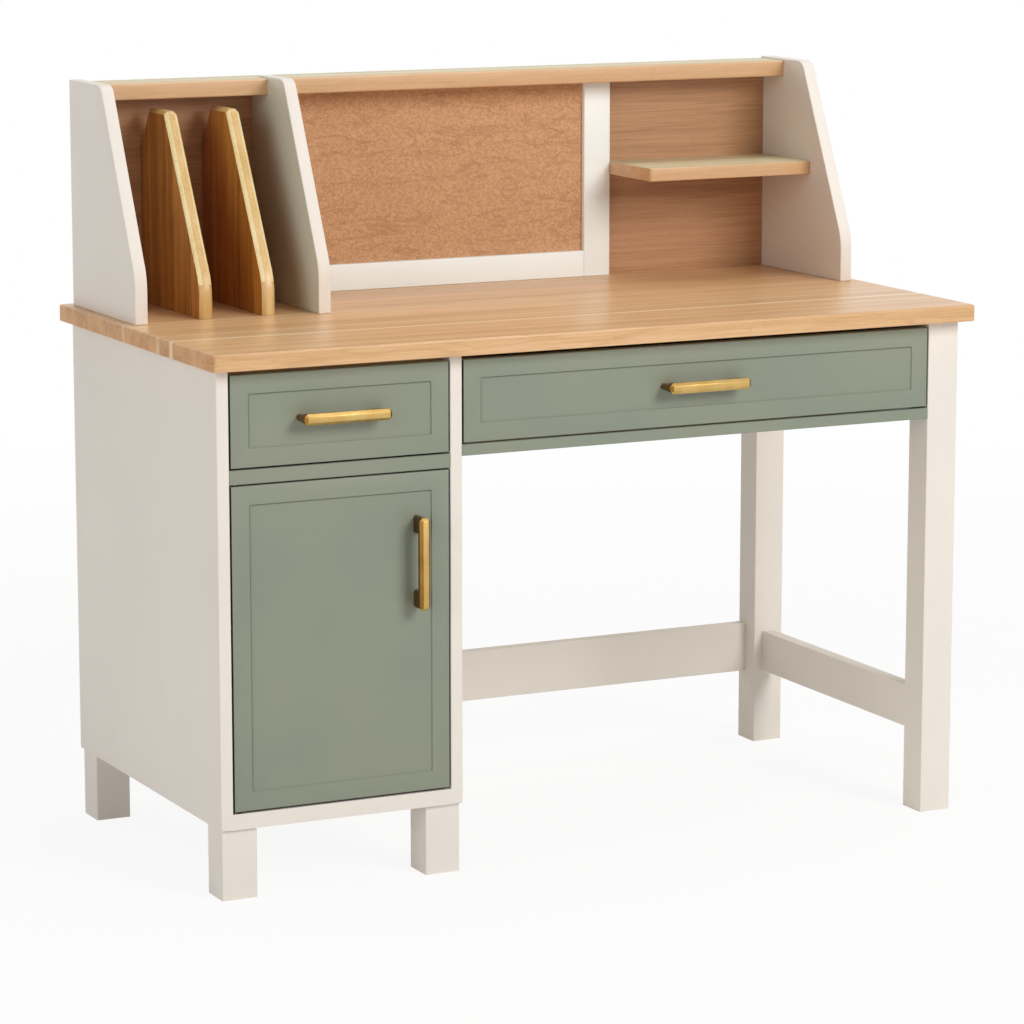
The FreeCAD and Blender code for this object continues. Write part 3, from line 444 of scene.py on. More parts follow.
@dataclass(frozen=True)
class PressedCork(Finish):
    """Pressed cork on a woven scrim: a dull warm crumb with the weave and wavy seams in it.

    The threads are drawn as coarse as they need to show.
    """

    name: str
    slot: Slot = Slot.CORK
    pale: str = "d8ab84"
    mid: str = "c89b74"
    dark: str = "b58861"
    seam_tint: str = "a07049"
    seam: tuple[float, float, float] = (110.0, 40.0, 24.0)
    granule: float = 2.4
    thread: float = 2.6
    thread_lean: float = 0.7
    crumb_depth: float = 0.4
    gloss: float = 0.85

    def paint(self, coat: Coat) -> None:
        """A tone for each granule, the scrim by two crossed sets of diagonal threads, wavy seams.

        Args:
            coat: the material's nodes.
        """
        place = coat.place()
        cells = coat.add("TexVoronoi", {"Vector": place, "Scale": per_mm(self.granule)})
        granule = coat.add("SeparateColor", {"Color": cells.outputs["Color"]})
        spacing = {"Scale": wave_per_mm(self.thread), "Detail": 1.0, "Detail Scale": 2.0}
        threads = []
        for lean in (self.thread_lean, -self.thread_lean):
            turned = coat.add("Mapping", {"Vector": place, "Rotation": (0.0, lean, 0.0)})
            wave = coat.add("TexWave", {"Vector": turned, "Distortion": 2.0, **spacing})
            threads.append(wave.outputs["Fac"])
        weave = coat.add("Math", {0: threads[0], 1: threads[1]}, operation="MULTIPLY")
        steps = [per_mm(step) for step in self.seam]
        wavy = coat.add("Mapping", {"Vector": place, "Scale": steps})
        seams = coat.add(
            "TexNoise", {"Vector": wavy, "Scale": 1.0, "Detail": 3.0, "Distortion": 0.6}
        )
        seam_line = coat.add(
            "ValToRGB", {"Fac": seams}, [(0.42, grey(0.0)), (0.45, grey(0.38)), (0.49, grey(0.0))]
        )
        crumb = coat.add("Mix", {SHARE: 0.45, NUMBER_A: granule.outputs["Red"], NUMBER_B: weave})
        base = coat.add(
            "ValToRGB",
            {"Fac": crumb},
            [(0.05, colour(self.dark)), (0.4, colour(self.mid)), (0.75, colour(self.pale))],
        )
        mixed = {SHARE: seam_line, COLOUR_A: base, COLOUR_B: colour(self.seam_tint)}
        surface = coat.add("Mix", mixed, data_type="RGBA")
        relief = {"Strength": 0.35, "Distance": mm(self.crumb_depth)}
        bump = coat.add("Bump", {"Height": crumb, **relief})
        coat.feed(SHADER, {"Base Color": surface, "Normal": bump, "Roughness": self.gloss})


@dataclass(frozen=True)
class BrushedBrass(Finish):
    """Solid brass brushed along the bar and lacquered: fine lines that stretch the highlight.

    Real brush lines are as thin as hairs; they are drawn as coarse as they need to show.
    """

    name: str
    run: Axis
    slot: Slot = Slot.BRASS
    bright: str = "d3b270"
    dull: str = "ba9653"
    line: float = 0.5
    line_length: float = 45.0
    line_depth: float = 0.08
    tarnish: float = 24.0
    gloss: float = 0.3

    def paint(self, coat: Coat) -> None:
        """Lines along the bar in the colour, the gloss and the bump.

        Args:
            coat: the material's nodes.
        """
        place = coat.place()
        scale = [per_mm(self.line)] * 3
        scale[self.run.value] = per_mm(self.line_length)
        drawn = coat.add("Mapping", {"Vector": place, "Scale": scale})
        lines = coat.add(
            "TexNoise", {"Vector": drawn, "Scale": 1.0, "Detail": 3.0, "Roughness": 0.6}
        )
        stain = {"Scale": per_mm(self.tarnish), "Detail": 3.0}
        tarnish = coat.add("TexNoise", {"Vector": place, **stain})
        blend = coat.add("Mix", {SHARE: 0.5, NUMBER_A: lines, NUMBER_B: tarnish})
        metal = coat.add(
            "ValToRGB", {"Fac": blend}, [(0.35, colour(self.dull)), (0.6, colour(self.bright))]
        )
        sheen = {"To Min": self.gloss + 0.08, "To Max": self.gloss - 0.06}
        gloss = coat.add("MapRange", {"Value": blend, "From Min": 0.3, "From Max": 0.7, **sheen})
        relief = {"Strength": 0.15, "Distance": mm(self.line_depth)}
        bump = coat.add("Bump", {"Height": lines, **relief})
        coat.feed(
            SHADER, {"Base Color": metal, "Roughness": gloss, "Normal": bump, "Metallic": 1.0}
        )


@dataclass(frozen=True)
class ZincSteel(Finish):
    """Pressed steel, plated: dull cool metal with a faint spangle of lighter and darker cells."""

    name: str
    slot: Slot = Slot.STEEL
    pale: str = "c4c6c8"
    dark: str = "b0b2b5"
    spangle: float = 3.0

    def paint(self, coat: Coat) -> None:
        """Spangle cells in the colour and the gloss.

        Args:
            coat: the material's nodes.
        """
        cells = coat.add("TexVoronoi", {"Vector": coat.place(), "Scale": per_mm(self.spangle)})
        shade = coat.add("SeparateColor", {"Color": cells.outputs["Color"]}).outputs
        metal = coat.add(
            "ValToRGB", {"Fac": shade["Red"]}, [(0.0, colour(self.dark)), (1.0, colour(self.pale))]
        )
        gloss = coat.add("MapRange", {"Value": shade["Green"], "To Min": 0.38, "To Max": 0.44})
        coat.feed(SHADER, {"Base Color": metal, "Roughness": gloss, "Metallic": 1.0})


@dataclass(frozen=True)
class BirchPlywood(Finish):
    """Peeled birch plywood, sanded and lacquered: quiet pale faces, striped plies at the edges."""

    name: str
    across: Axis
    slot: Slot = Slot.PLYWOOD
    face: str = "d9bd92"
    streak: str = "c6a476"
    glue: str = "9b7a50"
    ply: float = 1.5
    figure_length: float = 120.0
    figure_width: float = 5.0
    figure_gap: float = 3.0
    figure_depth: float = 0.15
    gloss: float = 0.5

    def paint(self, coat: Coat) -> None:
        """Faint figure on the faces and a band for every ply through the thickness.

        Args:
            coat: the material's nodes.
        """
        place = coat.place()
        length = Axis.Y if self.across is Axis.X else Axis.X
        scale = [per_mm(self.figure_width)] * 3
        scale[self.across.value] = per_mm(self.figure_gap)
        scale[length.value] = per_mm(self.figure_length)
        drawn = coat.add("Mapping", {"Vector": place, "Scale": scale})
        figure = coat.add("TexNoise", {"Vector": drawn, "Scale": 1.0, "Detail": 4.0})
        plies = coat.add(
            "TexWave",
            {"Vector": place, "Scale": wave_per_mm(2 * self.ply)},
            bands_direction=self.across.name,
        )
        wood = coat.add(
            "ValToRGB", {"Fac": figure}, [(0.35, colour(self.streak)), (0.6, colour(self.face))]
        )
        plied = coat.add(
            "ValToRGB", {"Fac": plies.outputs["Fac"]}, [(0.1, grey(0.5)), (0.4, grey(0.0))]
        )
        mixed = {SHARE: plied, COLOUR_A: wood, COLOUR_B: colour(self.glue)}
        surface = coat.add("Mix", mixed, data_type="RGBA")
        relief = {"Strength": 0.1, "Distance": mm(self.figure_depth)}
        bump = coat.add("Bump", {"Height": figure, **relief})
        coat.feed(SHADER, {"Base Color": surface, "Normal": bump, "Roughness": self.gloss})


@dataclass(frozen=True)
class MouldedPlastic(Finish):
    """Injection-moulded acetal: pale and waxy, with the mould's spark texture.

    The texture's grit is drawn as coarse as it needs to show.
    """

    name: str
    slot: Slot = Slot.PLASTIC
    pale: str = "e6e3dc"
    dark: str = "d8d4cb"
    grit: float = 0.8
    grit_depth: float = 0.05
    gloss: float = 0.48
    ior: float = 1.48

    def paint(self, coat: Coat) -> None:
        """Fine grit in tone and bump.

        Args:
            coat: the material's nodes.
        """
        grit = coat.add("TexNoise", {"Vector": coat.place(), "Scale": per_mm(self.grit)})
        tone = coat.add(
            "ValToRGB", {"Fac": grit}, [(0.3, colour(self.dark)), (0.7, colour(self.pale))]
        )
        relief = {"Strength": 0.2, "Distance": mm(self.grit_depth)}
        bump = coat.add("Bump", {"Height": grit, **relief})
        coat.feed(
            SHADER,
            {"Base Color": tone, "Normal": bump, "Roughness": self.gloss, "IOR": self.ior},
        )


# The desktop's staves from front to back.
STAVES = (
    Stave(-0.236, 0.96, 0.10),
    Stave(-0.148, 0.97, 0.55, sapwood=0.85),
    Stave(-0.098, 0.92, 0.32, sapwood=0.35),
    Stave(0.035, 0.97, 0.80, sapwood=0.4),
    Stave(0.094, 0.92, 0.18),
    Stave(0.173, 0.98, 0.66),
    Stave(0.240, 0.93, 0.41),
    Stave(0.300, 1.0, 0.90),
)

# Warm white with so soft a sheen that broad light leaves no glare on it.
WHITE_PAINT = SatinPaint("warm_white_satin_lacquer", Slot.WHITE, "e9e3db", "e5dfd7", gloss=0.6)
# The same lacquer a tone greyer: painted shade on the hutch's right inner face.
PAINTED_SHADE_WHITE = SatinPaint("white_lacquer_painted_shade", Slot.WHITE, "d8cfc5", "d3cac0")
# White with a breath of sage and a tone darker: a sage tint and painted shade on the divider's
# left face.
SHADED_WHITE = SatinPaint("sage_tinted_white_painted_shade", Slot.WHITE, "d2d3c4", "cdcebf")
# A brighter, cooler copy of the white for the pinboard's stile and rail: painted light.
PAINTED_LIGHT_WHITE = SatinPaint("white_lacquer_painted_light", Slot.WHITE, "f3f8f7", "f0f5f4")
# Greyed sage that drifts between a warmer and a cooler tone over a front.
GREEN_PAINT = SatinPaint("sage_green_satin_lacquer", Slot.GREEN, "898e7d", "828b7b")
# The narrow sides of the fronts in near-black green: painted shade, so the gaps read as fine dark
# lines.
PAINTED_GAP_SHADE_GREEN = SatinPaint("sage_painted_gap_shade", Slot.GREEN, "2f332c", "2b2f28")
# A thin darker line in the crease under the left and upper rim of a sunk field: painted shade.
PAINTED_CREASE_SHADE_GREEN = SatinPaint("sage_crease_painted_shade", Slot.GREEN, "6c7263", "687060")
# A lighter green on the right and lower walls of a sunk field: painted light, which keeps them as
# light as the front.
PAINTED_LIGHT_GREEN = SatinPaint("sage_wall_painted_light", Slot.GREEN, "a3a897", "9ea392")
# Glued oak staves under satin lacquer: honey tones that change from stave to stave.
DESKTOP_OAK = SawnWood(
    "lacquered_oak_staves", Slot.BOARDS,
    pale="e7bd8f", mid="ddb282", dark="d0a371", vein="c3925f", pore="b68554",
    gloss=0.33, staves=STAVES,
)
# Sawn ends of the same staves: duller and a little darker, because end grain drinks the lacquer.
END_OAK = SawnWood(
    "oak_end_grain", Slot.BOARDS,
    pale="d9ab7d", mid="d1a173", dark="c69669", vein="a2724a", pore="94653d",
    gloss=0.5, shine=0.2, staves=STAVES,
)
# One quiet oak board: fewer and fainter veins than the desktop.
BOARD_OAK = SawnWood(
    "lacquered_oak_board", Slot.BOARDS,
    pale="d7af85", mid="d1a87e", dark="caa075", vein="c09162", pore="b18354",
    vein_depth=0.25,
)
# Paler, greyed and greenish oak on the upper faces of the top board and the shelf.
PALE_TOP_OAK = SawnWood(
    "pale_sage_top_oak", Slot.BOARDS,
    pale="d6ccaa", mid="cdc19d", dark="c2b48f", vein="b3a57f", pore="a59671",
    vein_depth=0.2, gloss=0.44,
)
# Darker oak panel with long close veins, which runs quietly behind the hutch.
BACK_OAK = SawnWood(
    "lacquered_oak_panel", Slot.BACK,
    pale="bc8f69", mid="b3865f", dark="a67a55", vein="885d3c", pore="744b30",
    band=14.0, vein_gap=20.0, vein_length=900.0, vein_depth=0.35, gloss=0.42,
)
# Oiled amber wood with upright grain: deep warm faces that glow at the grain's pale bands.
GOLDEN_FACE = SawnWood(
    "amber_oiled_wood", Slot.GOLDEN,
    pale="cb8d41", mid="b47630", dark="935b24", vein="703d16", pore="503110",
    grain=Axis.Z, band=14.0, vein_gap=26.0,
)
# The planed edge of the same wood: pale gold beside the amber faces.
GOLDEN_EDGE = SawnWood(
    "pale_gold_edge", Slot.GOLDEN,
    pale="dcbc83", mid="d4b176", dark="c8a263", vein="b99150", pore="ae8443",
    grain=Axis.Z, vein_depth=0.2, gloss=0.32,
)
# Its front bevels in a near-white gold: a painted highlight, a bright line along the leaning edge.
PAINTED_HIGHLIGHT_GOLD = SawnWood(
    "gold_arris_painted_highlight", Slot.GOLDEN,
    pale="fcf0c0", mid="f8e7b0", dark="f0da9a", vein="e4c88c", pore="dcbd7a",
    grain=Axis.Z, gloss=0.28,
)
# Warm brown crumb behind the white frame, the liveliest surface of the hutch.
CORK = PressedCork("pressed_cork")
# Plated runners and screws: cool and dull beside the wood.
STEEL = ZincSteel("zinc_plated_steel")
# Blackened pins, dark enough to pass for the shade of the gap that they stand in: partly painted
# shade.
BLACK_STEEL = ZincSteel("blackened_steel_and_painted_shade", pale="3c3c3b", dark="2a2a2a")
# The catch: a small pale block that goes with the white inside.
PLASTIC = MouldedPlastic("moulded_acetal")


# ---------------------------------------------------------------- the bench
class Blank:
    """A piece on the bench: one mesh, shaped in edit mode and finished with applied modifiers."""

    def __init__(self, name: str, low: Vector, high: Vector) -> None:
        """Saw a block to size.

        Args:
            name: the piece's name.
            low: its lowest corner.
            high: its highest corner.
        """
        bpy.ops.object.select_all(action="DESELECT")
        bpy.ops.mesh.primitive_cube_add(size=1, location=(low + high) / 2)
        self.piece = bpy.context.object
        self.piece.name = name
        self.piece.scale = high - low
        bpy.ops.object.transform_apply(location=True, rotation=True, scale=True)
        self.low, self.high = low, high

    def hold(self) -> None:
        """Make this piece the only selected and active one."""
        bpy.ops.object.select_all(action="DESELECT")
        self.piece.select_set(True)
        bpy.context.view_layer.objects.active = self.piece

    def pick(self, element: Element, test: Test) -> int:
        """Open edit mode and select what passes a test.

        Args:
            element: edges or faces.
            test: takes a face's middle and normal, or an edge's middle and direction.

        Returns:
            How many elements are selected.
        """
        self.hold()
        bpy.ops.object.mode_set(mode="EDIT")
        bpy.ops.mesh.select_mode(type=element.value)
        bpy.ops.mesh.select_all(action="DESELECT")
        shape = bmesh.from_edit_mesh(self.piece.data)
        if element is Element.FACE:
            found = [face for face in shape.faces if test(face.calc_center_median(), face.normal)]
        else:
            found = []
            for edge in shape.edges:
                start, end = (vertex.co for vertex in edge.verts)
                if test((start + end) / 2, (end - start).normalized()):
                    found.append(edge)
        for part in found:
            part.select_set(True)
        bmesh.update_edit_mesh(self.piece.data)
        return len(found)

    def set_down(self) -> None:
        """Leave edit mode."""
        bpy.ops.object.mode_set(mode="OBJECT")

    def bevel(self, test: Test, width: float, segments: int = 1) -> None:
        """Round or bevel the edges that pass a test.

        Args:
            test: takes an edge's middle and direction.
            width: distance from the old edge to each new one.
            segments: 1 for a bevel, more for a rounding.
        """
        if self.pick(Element.EDGE, test):
            bpy.ops.mesh.bevel(affect="EDGES", offset=width, segments=segments)
        self.set_down()

    def saw(self, point: Vector, outward: Vector) -> None:
        """Saw off what lies outside a plane and close the cut.

        Args:
            point: a point of the saw cut.
            outward: the direction of the waste.
        """
        self.hold()
        bpy.ops.object.mode_set(mode="EDIT")
        bpy.ops.mesh.select_all(action="SELECT")
        bpy.ops.mesh.bisect(plane_co=point, plane_no=outward, use_fill=True, clear_outer=True)
        self.set_down()

    def modify(self, kind: str, **settings: object) -> None:
        """Add a modifier and apply it.

        Args:
            kind: the modifier's type.
            settings: its properties.
        """
        self.hold()
        modifier = self.piece.modifiers.new(kind.lower(), kind)
        for name, value in settings.items():
            setattr(modifier, name, value)
        bpy.ops.object.modifier_apply(modifier=modifier.name)

    def combine(self, bond: Bond, other: "Blank") -> None:
        """Cut another blank away, or make one solid with it, and use it up.

        Args:
            bond: what becomes of the two.
            other: the other blank.
        """
        self.modify("BOOLEAN", operation=bond.value, solver="EXACT", object=other.piece)
        bpy.data.objects.remove(other.piece)

    def carve(self, low: Vector, high: Vector) -> None:
        """Cut a box-shaped notch between its lowest and its highest corner."""
        self.combine(Bond.CUT, Blank("cutter", low, high))

    def ease(self, width: float, segments: int = 3) -> None:
        """Round every hard edge a little, as sanding and lacquer do.

        Args:
            width: width of the rounding.
            segments: steps of the rounding.
        """
        hard = {"limit_method": "ANGLE", "angle_limit": HARD_EDGE_ANGLE}
        self.modify("BEVEL", width=width, segments=segments, **hard)

    def deliver(self, body: Body, finish: Finish, node: str) -> None:
        """Smooth the piece, dress it and let it stand for its node.

        Args:
            body: what it rides on.
            finish: what it wears.
            node: the node that it stands for.
        """
        self.hold()
        bpy.ops.object.shade_smooth_by_angle(angle=SMOOTH_ANGLE)
        self.piece.data.materials.clear()
        self.piece.data.materials.append(finish.material())
        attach(self.piece, body.value)
        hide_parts(node)
        log.info("%s: %d faces", self.piece.name, len(self.piece.data.polygons))

    def patch(self, finish: Finish, test: Test) -> None:
        """Dress the faces that pass a test in another finish.

        Args:
            finish: what they wear.
            test: takes a face's middle and normal.
        """
        mesh = self.piece.data
        mesh.materials.append(finish.material())
        for face in mesh.polygons:
            if test(face.center, face.normal):
                face.material_index = len(mesh.materials) - 1


def along(axis: Axis) -> Test:
    """A test for edges that run along an axis."""
    return lambda middle, way: abs(way[axis.value]) > ALONG


def dress(finish: Finish, *nodes: str) -> None:
    """Dress nodes of the frame in a finish.

    Args:
        finish: what they wear.
        nodes: their names.
    """
    for node in nodes:
        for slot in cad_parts[node].material_slots:
            slot.material = finish.material()
        log.info("%s wears %s", node, finish.name)


# ---------------------------------------------------------------- sub-assemblies
@dataclass
class Desktop:
    """Solid stave desktop with rounded corners and a soft upper edge."""

    corner: float = mm(7)
    upper_round: float = mm(3)
    lower_round: float = mm(1.5)
    end_facing: float = 0.7

    def build(self) -> None:
        """Shape the board: corners first, then both rims."""
        low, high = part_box("desktop")
        blank = Blank("desktop_board", low, high)
        blank.bevel(along(Axis.Z), self.corner, segments=5)
        blank.bevel(lambda middle, way: middle.z > high.z - TOUCH, self.upper_round, segments=5)
        blank.bevel(lambda middle, way: middle.z < low.z + TOUCH, self.lower_round, segments=3)
        blank.deliver(Body.DESK, DESKTOP_OAK, "desktop")
        blank.patch(END_OAK, lambda middle, normal: abs(normal.x) > self.end_facing)


@dataclass
class Carcass:
    """White cabinet, feet, legs and stretchers, and the green rails: the frame's own nodes."""

    white: tuple[str, ...] = (
        *(f"cabinet_{part}" for part in ("left_side", "right_side", "bottom", "back", "shelf")),
        "shelf_cleats",
        *(f"foot_{place}" for place in ("front_left", "front_right", "rear_left", "rear_right")),
        "front_leg", "rear_leg", "side_stretcher", "rear_stretcher", "right_apron", "rear_apron",
    )
    green: tuple[str, ...] = ("drawer_rail", "centre_rail")

    def build(self) -> None:
        """Dress every node of the carcass."""
        dress(WHITE_PAINT, *self.white)
        dress(GREEN_PAINT, *self.green)
        dress(STEEL, "desktop_screws")
        dress(BLACK_STEEL, "door_pivot_pins")
        dress(BirchPlywood("birch_plywood_subtop", across=Axis.Z), "cabinet_top")
        dress(PLASTIC, "door_catch")


@dataclass
class BarHandle:
    """Bevelled brass bar on two posts."""

    name: str
    body: Body
    run: Axis
    depth: float = mm(13)
    bevel: float = mm(4)
    post_length: float = mm(25)
    post_width: float = mm(9)
    post_bevel: float = mm(2.5)
    polish: float = mm(0.5)
    cheek_facing: float = 0.6

    def build(self) -> None:
        """Bevel the bar, set the posts under its ends and polish the edges."""
        low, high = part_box(self.name)
        run, side = self.run.value, (Axis.Z if self.run is Axis.X else Axis.X).value
        bar = Blank(self.name + "_bar", low, Vector((high.x, low.y + self.depth, high.z)))
        bar.bevel(lambda middle, way: True, self.bevel)
        middle = (low + high) / 2
        for start in (low[run], high[run] - self.post_length):
            foot_low, foot_high = low.copy(), high.copy()
            foot_low.y = low.y + self.depth / 2
            foot_low[side] = middle[side] - self.post_width / 2
            foot_high[side] = middle[side] + self.post_width / 2
            foot_low[run], foot_high[run] = start, start + self.post_length
            post = Blank("post", foot_low, foot_high)
            post.bevel(along(Axis.Y), self.post_bevel)
            bar.combine(Bond.JOIN, post)
        bar.ease(self.polish, segments=2)
        line = self.run.name.lower()
        bar.deliver(self.body, BrushedBrass("brushed_brass_" + line, run=self.run), self.name)
        # Darker brass on the posts and the cheeks: painted shade, which makes the bar's face stand
        # out bright.
        shaded_brass = BrushedBrass(
            "brass_painted_shade_" + line, run=self.run, bright="8f6a35", dull="6f4d22", gloss=0.38
        )
        back = low.y + self.depth
        bar.patch(
            shaded_brass, lambda middle, normal: middle.y > back or abs(normal.x) > self.cheek_facing
        )


@dataclass
class InsetFront:
    """Green drawer front or door with eased edges and a sunk field."""

    node: str
    body: Body
    border: float = mm(26)
    corner: float = mm(4)
    slope: float = mm(0.1)
    depth: float = mm(2)
    crease: float = mm(1.05)
    crease_bands: int = 2
    edge: float = mm(1)

    def build(self) -> None:
        """Ease the outer edges, sink the field, paint shade into its crease and onto the panel's
        narrow sides, and paint light onto the field's right and lower walls.
        """
        low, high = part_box(self.node)
        blank = Blank(self.node + "_panel", low, high)
        blank.ease(self.edge)
        self.sink_field(blank)
        blank.deliver(self.body, GREEN_PAINT, self.node)
        floor = low.y + self.depth
        crease_end = self.border + self.slope + self.crease_bands * self.crease

        def under_rim_shade(middle: Vector, normal: Vector) -> bool:
            """Whether a face is one of the bands under the left and the upper rim."""
            near = min(middle.x - low.x, high.z - middle.z) < crease_end
            return abs(middle.y - floor) < TOUCH and near

        def lit_wall(middle: Vector, normal: Vector) -> bool:
            """Whether a face is the right or the lower wall of the sunk field."""
            inner = min(high.x - middle.x, middle.z - low.z) > self.border - self.edge
            return inner and abs(normal.y) < HALFWAY < max(-normal.x, normal.z)

        def hidden(middle: Vector, normal: Vector) -> bool:
            """Whether a face is one of the panel's narrow sides, but for the upper one."""
            inside = min(*(middle - low).xz, *(high - middle).xz)
            return abs(normal.y) < HALFWAY and inside < self.edge and normal.z < HALFWAY

        # Painted shade in the crease bands and on the narrow sides; painted light on the right and
        # lower walls of the field.
        blank.patch(PAINTED_CREASE_SHADE_GREEN, under_rim_shade)
        blank.patch(PAINTED_LIGHT_GREEN, lit_wall)
        blank.patch(PAINTED_GAP_SHADE_GREEN, hidden)

    def sink_field(self, blank: Blank) -> None:
        """Sink a field with rounded corners into the front face, with crease bands inside it.

        Args:
            blank: the panel.
        """
        face = blank.low.y + FLUSH
        blank.pick(Element.FACE, lambda middle, normal: normal.y < -FACING and middle.y < face)
        bpy.ops.mesh.inset(thickness=self.border - self.edge)
        offset = self.corner * (2 - math.sqrt(2))
        bpy.ops.mesh.bevel(affect="VERTICES", offset=offset, segments=5)
        blank.set_down()
        centre = (blank.low + blank.high) / 2
        blank.pick(
            Element.FACE,
            lambda middle, normal: normal.y < -FACING and (middle - centre).xz.length < NEAR,
        )
        bpy.ops.mesh.inset(thickness=self.slope, depth=-self.depth)
        for _ in range(self.crease_bands):
            bpy.ops.mesh.inset(thickness=self.crease)
        blank.set_down()


@dataclass
class Drawer:
    """A drawer: inset front, bar handle, plywood box and steel runners."""

    name: str
    body: Body

    def build(self) -> None:
        """Build the front and the handle, and dress the box and the runners."""
        box = f"{self.name}_drawer_"
        InsetFront(box + "front", self.body).build()
        BarHandle(box + "handle", self.body, Axis.X).build()
        dress(BirchPlywood("birch_plywood_sides", across=Axis.X), box + "left", box + "right")
        dress(BirchPlywood("birch_plywood_back", across=Axis.Y), box + "back")
        dress(BirchPlywood("birch_plywood_bottom", across=Axis.Z), box + "bottom")
        for part in ("runner_left", "runner_right", "slide_left", "slide_right"):
            dress(STEEL, f"{self.name}_{part}")
        dress(STEEL, box + "handle_screws")


@dataclass
class Cupboard:
    """The door with its handle, screws and catch plate."""

    def build(self) -> None:
        """Build the door and its handle."""
        InsetFront("door", Body.DOOR).build()
        BarHandle("door_handle", Body.DOOR, Axis.Z).build()
        dress(STEEL, "door_handle_screws", "catch_plate")


